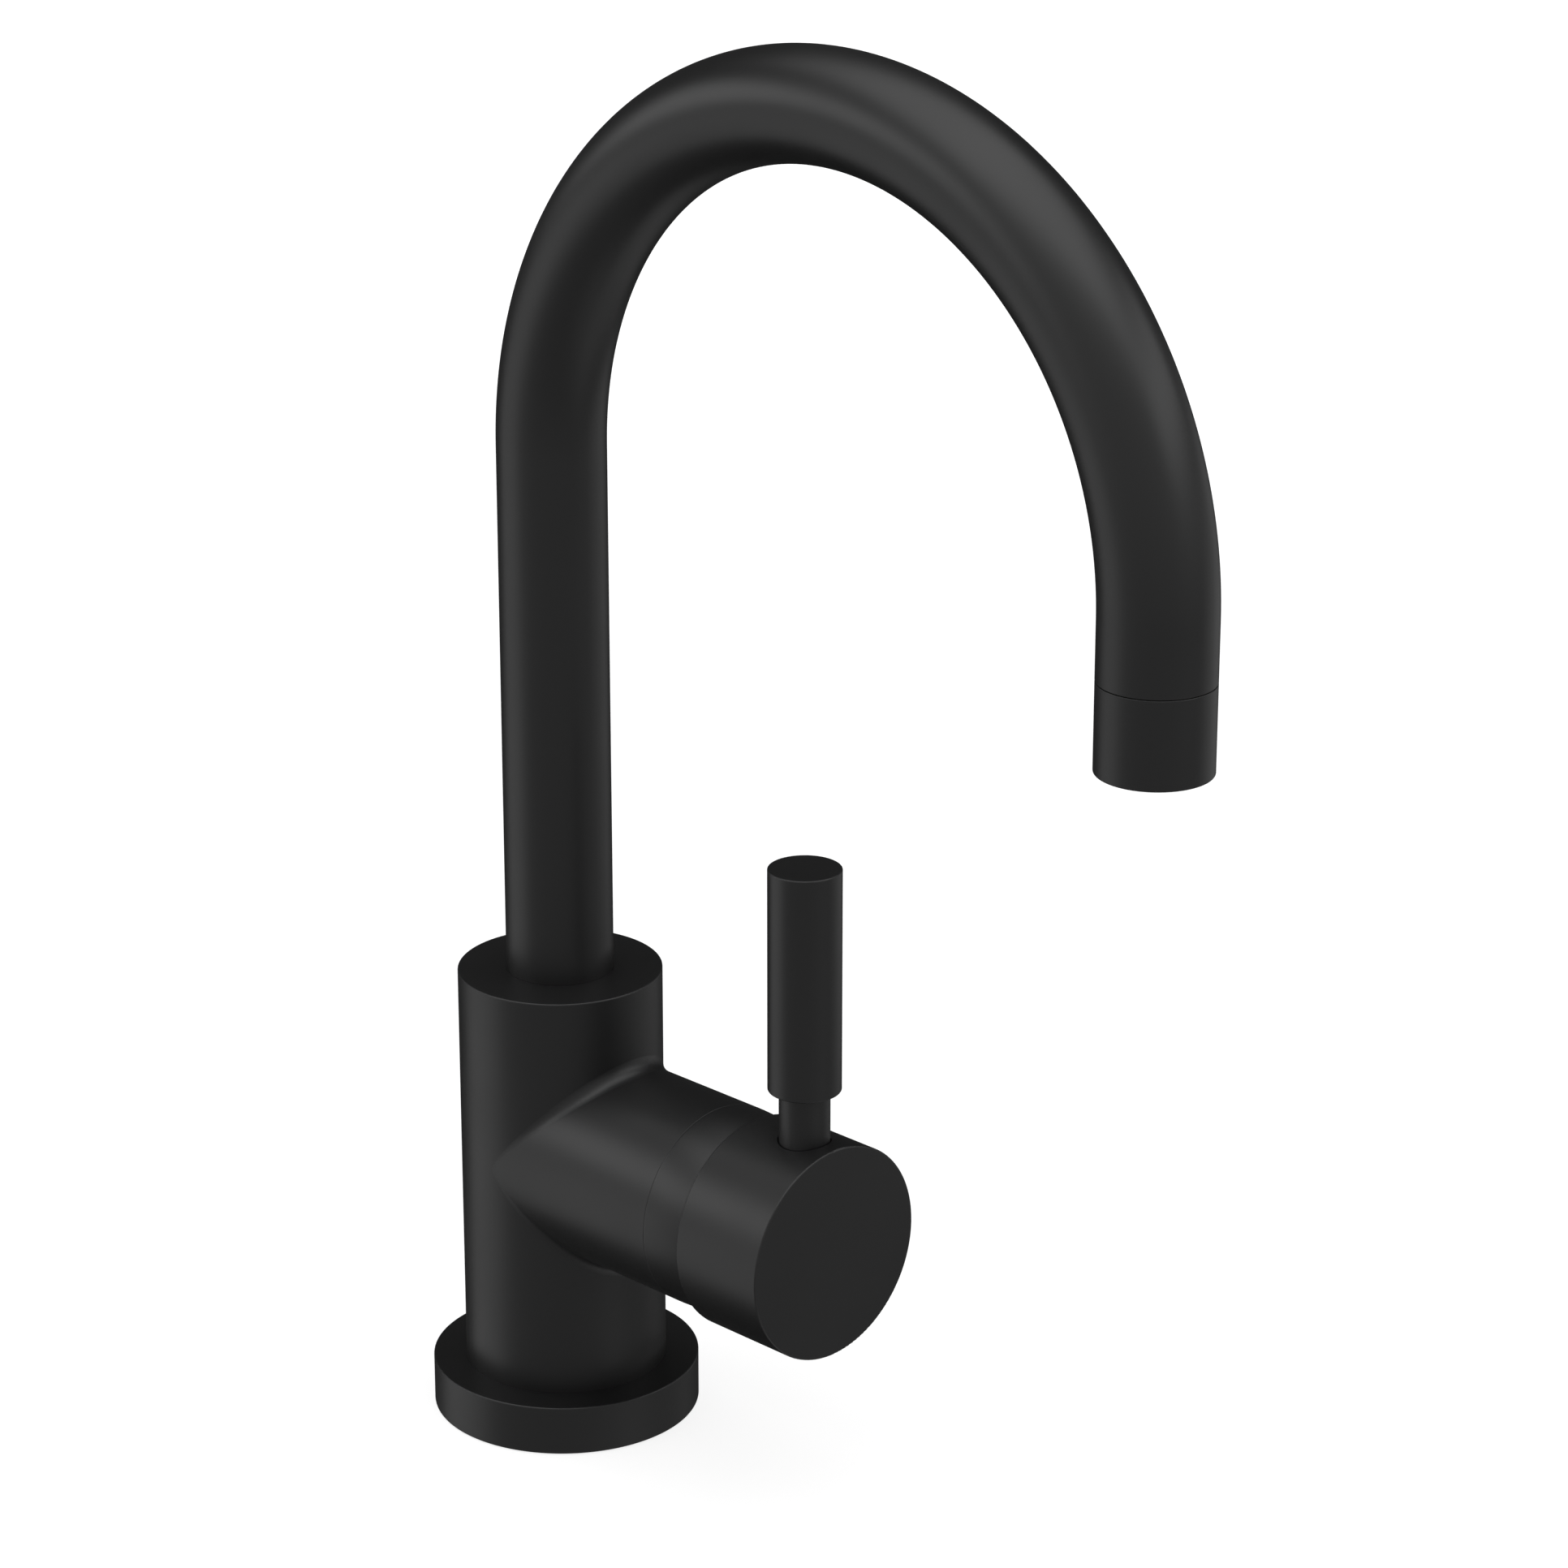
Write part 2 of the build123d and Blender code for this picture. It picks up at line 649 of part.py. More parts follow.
with BuildPart() as cartridge_rotor:
    with BuildSketch(boss_plane(rotor_back)):
        Circle(disc_radius - loose_gap)
    extrude(amount=rotor_flange_thickness)
    with BuildSketch(boss_plane(rotor_back)):
        Circle(rotor_radius)
    extrude(amount=rotor_front - rotor_back)
    # Lug between the housing's stops
    with BuildSketch(boss_plane(collar_front + snug_gap)):
        wedge(stop_lug_angle / 2, lug_radius)
        Circle(lug_radius, mode=Mode.INTERSECT)
    extrude(amount=stop_height - snug_gap)
    # Cavity for the carrier's block, slot for the stem and hole for the pin
    with BuildSketch(boss_plane(rotor_back)):
        with Locations((0, (cavity_top - cavity_bottom) / 2)):
            Rectangle(carrier_block + 2 * loose_gap, cavity_top + cavity_bottom)
    extrude(amount=cavity_front - rotor_back, mode=Mode.SUBTRACT)
    with BuildSketch(boss_plane(cavity_front)):
        with Locations((0, slot_middle)):
            Rectangle(stem_width + 2 * snug_gap, slot_top + slot_bottom)
    extrude(amount=rotor_front - cavity_front, mode=Mode.SUBTRACT)
    with BuildSketch(Plane.YZ.offset(-rotor_radius)):
        with Locations((-pivot_reach, boss_height)):
            Circle(pin_radius)
    extrude(amount=2 * rotor_radius, mode=Mode.SUBTRACT)
    # Groove for the rubber ring
    with BuildSketch(boss_section):
        with Locations((rotor_seal_reach, rotor_radius)):
            Rectangle(2 * (rotor_seal_section + fit_gap), 4 * rotor_seal_section)
    revolve(axis=boss_axis, mode=Mode.SUBTRACT)
cartridge_rotor.part.label = "cartridge_rotor"
export_step(cartridge_rotor.part, "parts/cartridge_rotor.step")

with BuildPart() as rotor_seal:
    with BuildSketch(boss_section):
        with Locations((rotor_seal_reach, rotor_seal_radius)):
            Circle(rotor_seal_section)
    revolve(axis=boss_axis)
rotor_seal.part.label = "rotor_seal"
export_step(rotor_seal.part, "parts/rotor_seal.step")

# Steel pin across the rotor, which the stem tilts on
pin_length = 2 * (rotor_radius - loose_gap)

with BuildPart() as pivot_pin:
    with BuildSketch(Plane.YZ.offset(-pin_length / 2)):
        with Locations((-pivot_reach, boss_height)):
            Circle(pin_radius)
    extrude(amount=pin_length)
pivot_pin.part.label = "pivot_pin"
export_step(pivot_pin.part, "parts/pivot_pin.step")

# Stem: a square bar that tilts on the pin, with a ball on its inner end
with BuildPart() as cartridge_stem:
    with BuildSketch(boss_plane(pivot_reach - stem_heel)):
        Rectangle(stem_width, stem_width)
    extrude(amount=stem_end - pivot_reach + stem_heel)
    chamfer(cartridge_stem.edges().group_by(Axis.Y)[0], stem_chamfer)
    with BuildSketch(boss_plane(ball_reach)):
        Circle(stem_neck_radius)
    extrude(amount=stem_arm - stem_heel)
    with BuildSketch(boss_section):
        with Locations((ball_reach, 0)):
            Circle(stem_ball_radius)
            Rectangle(
                4 * stem_ball_radius,
                2 * stem_ball_radius,
                align=(Align.CENTER, Align.MAX),
                mode=Mode.SUBTRACT,
            )
    revolve(axis=boss_axis)
    with BuildSketch(Plane.YZ.offset(-stem_width)):
        with Locations((-pivot_reach, boss_height)):
            Circle(pin_radius + fit_gap)
    extrude(amount=2 * stem_width, mode=Mode.SUBTRACT)
cartridge_stem.part.label = "cartridge_stem"
export_step(cartridge_stem.part, "parts/cartridge_stem.step")

# Brass nut that clamps the housing's shoulder
nut_hex_reach = boss_reach + nut_stand_out
nut_front = nut_hex_reach + nut_hex_length

with BuildPart() as cartridge_nut:
    with BuildSketch(boss_plane(shoulder_reach)):
        Circle(thread_radius - fit_gap)
    extrude(amount=nut_hex_reach - shoulder_reach)
    with BuildSketch(boss_plane(nut_hex_reach)):
        RegularPolygon(thread_radius - nut_hex_inset, 6)
    extrude(amount=nut_hex_length)
    with BuildSketch(boss_plane(shoulder_reach)):
        Circle(collar_radius + 2 * fit_gap)
    extrude(amount=nut_front - shoulder_reach, mode=Mode.SUBTRACT)
cartridge_nut.part.label = "cartridge_nut"
export_step(cartridge_nut.part, "parts/cartridge_nut.step")

# Dome ring: it screws on the nut, and its curve carries on inside the handle's hub
dome_back = boss_reach + seam_gap
dome_arc = degrees(asin((hub_back - dome_back) / dome_radius))

with BuildPart() as dome_ring:
    with BuildSketch(boss_section):
        with BuildLine():
            dome = JernArc((dome_back, boss_radius), (1, 0), dome_radius, -dome_arc)
            shoulder = JernArc(dome @ 1, dome % 1, dome_shoulder_radius, dome_arc - 90)
            front = (shoulder @ 1).X
            corner = (shoulder @ 1).Y
            Polyline(
                shoulder @ 1,
                (front, dome_opening_radius),
                (front - dome_wall, dome_opening_radius),
                (front - dome_wall, corner),
                (front - dome_wall - (thread_radius - corner), thread_radius),
                (dome_back, thread_radius),
                dome @ 0,
            )
        make_face()
    revolve(axis=boss_axis)
    fillet(dome_ring.edges().group_by(Axis.Y)[-1].sort_by(SortBy.RADIUS)[-1], boss_seam_radius)
dome_ring.part.label = "dome_ring"
export_step(dome_ring.part, "parts/dome_ring.step")

# Handle hub: a cup over the dome, broached for the stem and bored for the lever
dome_edge_radius = boss_radius - dome_radius + sqrt(dome_radius**2 - (hub_back - dome_back) ** 2)
hub_bore_radius = dome_edge_radius + hub_gap
hub_radius = hub_bore_radius + hub_wall
lever_thread_foot = lever_seat - lever_thread_length

with BuildPart() as handle_hub:
    with BuildSketch(boss_plane(hub_back)):
        Circle(hub_radius)
    extrude(amount=hub_length)
    fillet(handle_hub.edges().filter_by(GeomType.CIRCLE), edge_radius)
    with BuildSketch(boss_plane(hub_back)):
        Circle(hub_bore_radius)
    extrude(amount=hub_cavity_depth, mode=Mode.SUBTRACT)
    with BuildSketch(boss_plane(hub_back)):
        Rectangle(stem_width + 2 * fit_gap, stem_width + 2 * fit_gap)
    extrude(amount=stem_end + loose_gap - hub_back, mode=Mode.SUBTRACT)
    # Stepped hole from the top: lever, lever thread, grub screw
    with BuildSketch(Plane.XY.offset(boss_height + lever_seat)):
        with Locations((0, -lever_reach)):
            Circle(neck_radius + lever_hole_gap)
    extrude(amount=hub_radius, mode=Mode.SUBTRACT)
    with BuildSketch(Plane.XY.offset(boss_height + lever_thread_foot - loose_gap)):
        with Locations((0, -lever_reach)):
            Circle(lever_thread_radius)
    extrude(amount=hub_radius, mode=Mode.SUBTRACT)
    with BuildSketch(Plane.XY.offset(boss_height)):
        with Locations((0, -lever_reach)):
            Circle(grub_screw_radius)
    extrude(amount=hub_radius, mode=Mode.SUBTRACT)
handle_hub.part.label = "handle_hub"
export_step(handle_hub.part, "parts/handle_hub.step")

# Grub screw under the lever, which clamps the hub on the stem
grub_screw_foot = boss_height + stem_half + fit_gap

with BuildPart() as hub_grub_screw:
    with BuildSketch(Plane((0, -lever_reach, grub_screw_foot))):
        Circle(grub_screw_radius - fit_gap)
    extrude(amount=grub_screw_length)
    with BuildSketch(Plane((0, -lever_reach, grub_screw_foot + grub_screw_length))):
        RegularPolygon(hex_socket_flats / 2, 6, major_radius=False)
    extrude(amount=-hex_socket_depth, mode=Mode.SUBTRACT)
hub_grub_screw.part.label = "hub_grub_screw"
export_step(hub_grub_screw.part, "parts/hub_grub_screw.step")

# Lever rod, threaded at both ends, and the grip that screws on it
lever_section = Plane.XZ.offset(lever_reach)
lever_axis = Axis((0, -lever_reach, 0), (0, 0, 1))
grip_foot = boss_height + neck_top

with BuildPart() as lever_rod:
    with BuildSketch(lever_section):
        with Locations((0, boss_height + lever_seat)):
            Rectangle(neck_radius, neck_top - lever_seat, align=Align.MIN)
            Rectangle(
                lever_thread_radius - fit_gap,
                lever_thread_length,
                align=(Align.MIN, Align.MAX),
            )
        with Locations((0, grip_foot)):
            Rectangle(
                lever_thread_radius - fit_gap, grip_thread_length - loose_gap, align=Align.MIN
            )
    revolve(axis=lever_axis)
lever_rod.part.label = "lever_rod"
export_step(lever_rod.part, "parts/lever_rod.step")

with BuildPart() as lever_grip:
    with BuildSketch(lever_section):
        with Locations((0, grip_foot)):
            Rectangle(grip_radius, grip_length, align=Align.MIN)
    revolve(axis=lever_axis)
    fillet(lever_grip.edges().filter_by(GeomType.CIRCLE), edge_radius)
    with BuildSketch(Plane((0, -lever_reach, grip_foot))):
        Circle(lever_thread_radius)
    extrude(amount=grip_thread_length, mode=Mode.SUBTRACT)
lever_grip.part.label = "lever_grip"
export_step(lever_grip.part, "parts/lever_grip.step")
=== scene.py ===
"""A matte black single-lever bathroom faucet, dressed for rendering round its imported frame.

Each sub-assembly is a class that holds its sizes in millimetres, builds its visible pieces with
bmesh operators and gives every piece and every carried-over node a procedural finish. The spout
and the handle point towards -Y, and the faucet's foot stands on the floor at the origin.
"""

from __future__ import annotations

import logging
import math
from dataclasses import dataclass
from enum import Enum
from typing import Iterable, Sequence

import bmesh
import bpy
from mathutils import Matrix, Vector


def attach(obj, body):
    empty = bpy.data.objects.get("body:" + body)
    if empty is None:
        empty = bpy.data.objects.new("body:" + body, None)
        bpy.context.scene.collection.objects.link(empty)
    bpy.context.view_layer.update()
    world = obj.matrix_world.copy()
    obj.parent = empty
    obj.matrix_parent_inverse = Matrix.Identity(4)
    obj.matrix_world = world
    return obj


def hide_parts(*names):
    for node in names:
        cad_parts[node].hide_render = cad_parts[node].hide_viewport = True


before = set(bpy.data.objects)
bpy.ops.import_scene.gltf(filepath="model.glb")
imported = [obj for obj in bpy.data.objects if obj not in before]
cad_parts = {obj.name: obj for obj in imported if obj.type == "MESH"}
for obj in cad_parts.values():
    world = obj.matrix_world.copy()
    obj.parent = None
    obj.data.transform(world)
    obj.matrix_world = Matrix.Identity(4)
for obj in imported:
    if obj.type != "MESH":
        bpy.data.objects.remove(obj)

log = logging.getLogger("faucet")

MM = 0.001
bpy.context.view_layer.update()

# Turned points that lie nearer than this, in metres, are one point.
MERGE_DISTANCE = 1e-7
# How far a point may lie from its rim's size, in millimetres.
RIM_TOLERANCE = 0.005
# Sides round each rounded rim of a turned piece.
RIM_SEGMENTS = 4
# How strongly a piece's large faces pull its normals.
AREA_WEIGHT = 100
# Faces that meet at more than this stay sharp to the light.
SHARP_ANGLE = math.radians(40.0)
# The colour sockets of a Mix node, whose names the sockets for numbers share.
MIX_FACTOR, MIX_FIRST, MIX_SECOND, MIX_RESULT = 0, 6, 7, 2

Tone = tuple[float, float, float]


class Rider(Enum):
    """The frame's bodies that the new pieces ride on."""

    BODY = "body"
    SPOUT = "spout"
    LEVER = "lever"


class Slot(Enum):
    """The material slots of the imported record."""

    BLACK = "matte_black"
    BRASS = "brass"
    STEEL = "steel"
    RUBBER = "rubber"
    WHITE = "white_plastic"
    DARK = "dark_plastic"
    CERAMIC = "ceramic"


class Facing(Enum):
    """The way that the axis of a turned piece points."""

    UP = "up"
    FRONT = "front"

    def matrix(self, foot: Sequence[float]) -> Matrix:
        """Place a piece that was turned round Z.

        Args:
            foot: Where the turning axis starts, in millimetres.

        Returns:
            The matrix that turns and moves the piece to its place, in metres.
        """
        turn = Matrix.Identity(4)
        if self is Facing.FRONT:
            turn = Matrix.Rotation(math.radians(90.0), 4, "X")
        return Matrix.Translation(Vector(foot) * MM) @ turn


# Node trees


class Graph:
    """A shader node tree that is filled by short calls."""

    def __init__(self, tree: bpy.types.NodeTree) -> None:
        """Empty the tree.

        Args:
            tree: The node tree of a material, a world or a group.
        """
        self.tree = tree
        self.tree.nodes.clear()

    def add(
        self,
        kind: str,
        values: dict[str | int, object] | None = None,
        **settings: object,
    ) -> bpy.types.Node:
        """Add one node.

        Args:
            kind: The node's type, such as "ShaderNodeTexNoise".
            values: Input sockets by name or number, and what each is set or linked to.
            settings: The node's own settings, such as its operation.

        Returns:
            The new node.
        """
        node = self.tree.nodes.new(kind)
        for setting, choice in settings.items():
            setattr(node, setting, choice)
        for socket, value in (values or {}).items():
            if isinstance(value, bpy.types.NodeSocket):
                self.tree.links.new(value, node.inputs[socket])
            else:
                node.inputs[socket].default_value = value
        return node

    def effect(
        self,
        group: bpy.types.ShaderNodeTree,
        vector: bpy.types.NodeSocket,
        values: dict[str, float] | None = None,
    ) -> bpy.types.Node:
        """Place a shared effect.

        Args:
            group: The effect's node group.
            vector: The coordinates that it follows.
            values: Its other inputs by name, and what each is set to.

        Returns:
            The group's node.
        """
        return self.add("ShaderNodeGroup", {"Vector": vector, **(values or {})}, node_tree=group)

    def calculate(
        self,
        operation: str,
        first: bpy.types.NodeSocket,
        second: bpy.types.NodeSocket,
    ) -> bpy.types.NodeSocket:
        """Work a value out of two others.

        Args:
            operation: The Math node's operation.
            first: The socket of the first value.
            second: The socket of the second value.

        Returns:
            The socket that puts out the result.
        """
        node = self.add("ShaderNodeMath", {0: first, 1: second}, operation=operation)
        return node.outputs["Value"]

    def ramp(
        self,
        value: bpy.types.NodeSocket,
        limits: tuple[float, float] = (0.0, 1.0),
        low: float | bpy.types.NodeSocket = 0.0,
        high: float = 1.0,
        smooth: bool = False,
    ) -> bpy.types.NodeSocket:
        """Turn one range of values into another.

        Args:
            value: The socket that puts out the value.
            limits: The values that give the low end and the high end.
            low: The low end, as a number or a socket.
            high: The high end.
            smooth: Whether the change eases in and out.

        Returns:
            The socket that puts out the result.
        """
        start, end = limits
        node = self.add(
            "ShaderNodeMapRange",
            {"Value": value, "From Min": start, "From Max": end, "To Min": low, "To Max": high},
            interpolation_type="SMOOTHSTEP" if smooth else "LINEAR",
        )
        return node.outputs["Result"]

    def blend(self, mask: bpy.types.NodeSocket, first: Tone, second: Tone) -> bpy.types.NodeSocket:
        """Mix two colours.

        Args:
            mask: The socket that says how much of the second colour shows.
            first: The colour where the mask is 0.
            second: The colour where the mask is 1.

        Returns:
            The socket that puts out the mixed colour.
        """
        node = self.add(
            "ShaderNodeMix",
            {MIX_FACTOR: mask, MIX_FIRST: (*first, 1.0), MIX_SECOND: (*second, 1.0)},
            data_type="RGBA",
        )
        return node.outputs[MIX_RESULT]

    def relief(
        self, height: bpy.types.NodeSocket, strength: float, depth: float
    ) -> bpy.types.NodeSocket:
        """Raise and sink the surface by a height.

        Args:
            height: The socket that puts out the height, from 0 to 1.
            strength: How much of the relief shows.
            depth: How far the relief reaches, in metres.

        Returns:
            The socket that puts out the normal.
        """
        node = self.add(
            "ShaderNodeBump", {"Strength": strength, "Distance": depth, "Height": height}
        )
        return node.outputs["Normal"]


@dataclass(frozen=True)
class Port:
    """One socket of a node group."""

    name: str
    kind: str = "NodeSocketFloat"
    output: bool = False


def new_group(name: str, ports: Iterable[Port]) -> tuple[bpy.types.ShaderNodeTree, Graph]:
    """Start a shader node group with named sockets.

    Args:
        name: The group's name.
        ports: Its inputs and outputs, in order.

    Returns:
        The group and the graph that fills it.
    """
    group = bpy.data.node_groups.new(name, "ShaderNodeTree")
    for port in ports:
        group.interface.new_socket(
            name=port.name,
            in_out="OUTPUT" if port.output else "INPUT",
            socket_type=port.kind,
        )
    return group, Graph(group)


class Effects:
    """The shared effects, each a node group that is built once and placed in many finishes."""

    _built: dict[str, bpy.types.ShaderNodeTree] = {}

    fine_detail: float = 3.0
    fine_roughness: float = 0.55
    broad_detail: float = 2.0
    broad_roughness: float = 0.5
    patch_limits: tuple[float, float] = (0.3, 0.7)
    ring_detail: float = 4.0
    rim_samples: int = 4
    rim_limits: tuple[float, float] = (0.995, 0.90)
    # Uneven patches along the lighter rims, which are partly rubbed wear and partly a painted
    # highlight.
    rim_patch_scale: float = 260.0
    rim_patch_detail: float = 3.0
    rim_patch_limits: tuple[float, float] = (0.35, 0.65)

    @classmethod
    def grain(cls) -> bpy.types.ShaderNodeTree:
        """Fine texture of a sprayed or moulded surface, and its slow changes of tone.

        Returns:
            A group with the outputs Height, the fine relief, and Patches, the slow changes.
        """
        if "grain" in cls._built:
            return cls._built["grain"]
        group, graph = new_group(
            "surface_grain",
            [
                Port("Vector", "NodeSocketVector"),
                Port("Fine"),
                Port("Broad"),
                Port("Height", output=True),
                Port("Patches", output=True),
            ],
        )
        inside = graph.add("NodeGroupInput")
        fine = graph.add(
            "ShaderNodeTexNoise",
            {
                "Vector": inside.outputs["Vector"],
                "Scale": inside.outputs["Fine"],
                "Detail": cls.fine_detail,
                "Roughness": cls.fine_roughness,
            },
        )
        broad = graph.add(
            "ShaderNodeTexNoise",
            {
                "Vector": inside.outputs["Vector"],
                "Scale": inside.outputs["Broad"],
                "Detail": cls.broad_detail,
                "Roughness": cls.broad_roughness,
            },
        )
        patches = graph.ramp(broad.outputs["Fac"], cls.patch_limits, smooth=True)
        graph.add("NodeGroupOutput", {"Height": fine.outputs["Fac"], "Patches": patches})
        cls._built["grain"] = group
        return group

    @classmethod
    def rings(cls) -> bpy.types.ShaderNodeTree:
        """Tool marks of a lathe: fine rings round Z that differ in depth.

        Returns:
            A group with the output Height, the relief of the rings.
        """
        if "rings" in cls._built:
            return cls._built["rings"]
        group, graph = new_group(
            "lathe_rings",
            [
                Port("Vector", "NodeSocketVector"),
                Port("Pitch"),
                Port("Height", output=True),
            ],
        )
        inside = graph.add("NodeGroupInput")
        parts = graph.add("ShaderNodeSeparateXYZ", {"Vector": inside.outputs["Vector"]})
        across = graph.add(
            "ShaderNodeCombineXYZ", {"X": parts.outputs["X"], "Y": parts.outputs["Y"]}
        )
        radius = graph.add(
            "ShaderNodeVectorMath", {0: across.outputs["Vector"]}, operation="LENGTH"
        )
        line = graph.calculate("ADD", radius.outputs["Value"], parts.outputs["Z"])
        marks = graph.add(
            "ShaderNodeTexNoise",
            {
                "W": graph.calculate("MULTIPLY", line, inside.outputs["Pitch"]),
                "Scale": 1.0,
                "Detail": cls.ring_detail,
            },
            noise_dimensions="1D",
        )
        graph.add("NodeGroupOutput", {"Height": marks.outputs["Fac"]})
        cls._built["rings"] = group
        return group

    @classmethod
    def edges(cls) -> bpy.types.ShaderNodeTree:
        """Rims and corners, lighter partly as rubbed wear where the coat is thinner and hands and
        cloths polish it, and partly as a painted highlight along the rims.

        Returns:
            A group with the output Mask, 1 on a sharp rim and 0 away from it.
        """
        if "edges" in cls._built:
            return cls._built["edges"]
        group, graph = new_group(
            "rubbed_and_highlit_edges",
            [
                Port("Vector", "NodeSocketVector"),
                Port("Width"),
                Port("Mask", output=True),
            ],
        )
        inside = graph.add("NodeGroupInput")
        rounded = graph.add(
            "ShaderNodeBevel", {"Radius": inside.outputs["Width"]}, samples=cls.rim_samples
        )
        flat = graph.add("ShaderNodeNewGeometry")
        same = graph.add(
            "ShaderNodeVectorMath",
            {0: rounded.outputs["Normal"], 1: flat.outputs["Normal"]},
            operation="DOT_PRODUCT",
        )
        rim_patches = graph.add(
            "ShaderNodeTexNoise",
            {
                "Vector": inside.outputs["Vector"],
                "Scale": cls.rim_patch_scale,
                "Detail": cls.rim_patch_detail,
            },
        )
        # The mask lightens the rims: partly rubbed wear, partly a painted highlight along the
        # rounded edges.
        mask = graph.calculate(
            "MULTIPLY",
            graph.ramp(same.outputs["Value"], cls.rim_limits),
            graph.ramp(rim_patches.outputs["Fac"], cls.rim_patch_limits, smooth=True),
        )
        graph.add("NodeGroupOutput", {"Mask": mask})
        cls._built["edges"] = group
        return group


# Finishes


def new_material(name: str) -> tuple[bpy.types.Material, Graph]:
    """Start an empty node material.

    Args:
        name: The material's name.

    Returns:
        The material and the graph that fills it.
    """
    material = bpy.data.materials.new(name)
    material.use_nodes = True
    return material, Graph(material.node_tree)


@dataclass(frozen=True)
class MatteBlackCoat:
    """Electrostatic black coat on the outside of the faucet: smooth, satin and nearly neutral."""

    name: str = "matte_black_coat"
    tone: Tone = (0.005, 0.005, 0.0052)
    # Lighter colour on the rims: partly rubbed wear, partly a painted highlight along the rounded
    # edges.
    rim_wear_and_highlight_tone: Tone = (0.011, 0.011, 0.0112)
    roughness: float = 0.42
    roughness_swing: float = 0.015
    specular: float = 0.52
    peel_scale: float = 1400.0
    patch_scale: float = 45.0
    rim_width: float = 0.0005
    relief_strength: float = 0.35
    relief_depth: float = 0.000012

    def material(self) -> bpy.types.Material:
        """Build the finish.

        Returns:
            A material with an orange-peel relief, slow changes of sheen, and lighter rims that are
            partly rubbed wear and partly a painted highlight.
        """
        material, graph = new_material(self.name)
        place = graph.add("ShaderNodeTexCoord").outputs["Object"]
        grain = graph.effect(
            Effects.grain(), place, {"Fine": self.peel_scale, "Broad": self.patch_scale}
        )
        edges = graph.effect(Effects.edges(), place, {"Width": self.rim_width})
        coat = graph.add(
            "ShaderNodeBsdfPrincipled",
            {
                # The rims take the lighter colour here: partly rubbed wear, partly a painted
                # highlight.
                "Base Color": graph.blend(edges.outputs["Mask"], self.tone, self.rim_wear_and_highlight_tone),
                "Roughness": graph.ramp(
                    grain.outputs["Patches"],
                    low=self.roughness - self.roughness_swing,
                    high=self.roughness + self.roughness_swing,
                ),
                "Normal": graph.relief(
                    grain.outputs["Height"], self.relief_strength, self.relief_depth
                ),
                "Specular IOR Level": self.specular,
            },
        )
        graph.add("ShaderNodeOutputMaterial", {"Surface": coat.outputs["BSDF"]})
        return material


@dataclass(frozen=True)
class TurnedMetal:
    """Bare machined metal, with the rings that the tool left."""

    name: str
    tone: Tone
    dull_tone: Tone
    roughness: float = 0.3
    roughness_swing: float = 0.08
    ring_scale: float = 2600.0
    patch_scale: float = 180.0
    relief_strength: float = 0.4
    relief_depth: float = 0.00002

    def material(self) -> bpy.types.Material:
        """Build the finish.

        Returns:
            A metal with tool rings, uneven brightness and a slight tarnish.
        """
        material, graph = new_material(self.name)
        place = graph.add("ShaderNodeTexCoord").outputs["Object"]
        rings = graph.effect(Effects.rings(), place, {"Pitch": self.ring_scale})
        grain = graph.effect(Effects.grain(), place, {"Broad": self.patch_scale})
        metal = graph.add(
            "ShaderNodeBsdfPrincipled",
            {
                "Base Color": graph.blend(grain.outputs["Patches"], self.tone, self.dull_tone),
                "Roughness": graph.ramp(
                    rings.outputs["Height"],
                    low=self.roughness - self.roughness_swing,
                    high=self.roughness + self.roughness_swing,
                ),
                "Normal": graph.relief(
                    rings.outputs["Height"], self.relief_strength, self.relief_depth
                ),
                "Metallic": 1.0,
            },
        )
        graph.add("ShaderNodeOutputMaterial", {"Surface": metal.outputs["BSDF"]})
        return material


@dataclass(frozen=True)
class Moulded:
    """A moulded rubber or plastic, or a lapped ceramic."""

    name: str
    tone: Tone
    second_tone: Tone
    roughness: float
    roughness_swing: float = 0.05
    grain_scale: float = 2200.0
    patch_scale: float = 120.0
    relief_strength: float = 0.5
    relief_depth: float = 0.00002

    def material(self) -> bpy.types.Material:
        """Build the finish.

        Returns:
            A dielectric with a fine moulded relief and slow changes of tone.
        """
        material, graph = new_material(self.name)
        place = graph.add("ShaderNodeTexCoord").outputs["Object"]
        grain = graph.effect(
            Effects.grain(), place, {"Fine": self.grain_scale, "Broad": self.patch_scale}
        )
        surface = graph.add(
            "ShaderNodeBsdfPrincipled",
            {
                "Base Color": graph.blend(grain.outputs["Patches"], self.tone, self.second_tone),
                "Roughness": graph.ramp(
                    grain.outputs["Height"],
                    low=self.roughness - self.roughness_swing,
                    high=self.roughness + self.roughness_swing,
                ),
                "Normal": graph.relief(
                    grain.outputs["Height"], self.relief_strength, self.relief_depth
                ),
            },
        )
        graph.add("ShaderNodeOutputMaterial", {"Surface": surface.outputs["BSDF"]})
        return material


Finish = MatteBlackCoat | TurnedMetal | Moulded


# Turned sections


def round_rim(
    mesh: bmesh.types.BMesh, rim: list[bmesh.types.BMEdge], rounding: float, segments: int
) -> None:
    """Round one rim of a mesh.

    Args:
        mesh: The mesh that holds the rim.
        rim: The rim's edges.
        rounding: The radius that it is rounded to, in millimetres.
        segments: How many sides go round it.
    """
    bmesh.ops.bevel(
        mesh,
        geom=rim,
        offset=rounding * MM,
        offset_type="OFFSET",
        segments=segments,
        profile=0.5,
        affect="EDGES",
        material=-1,
    )


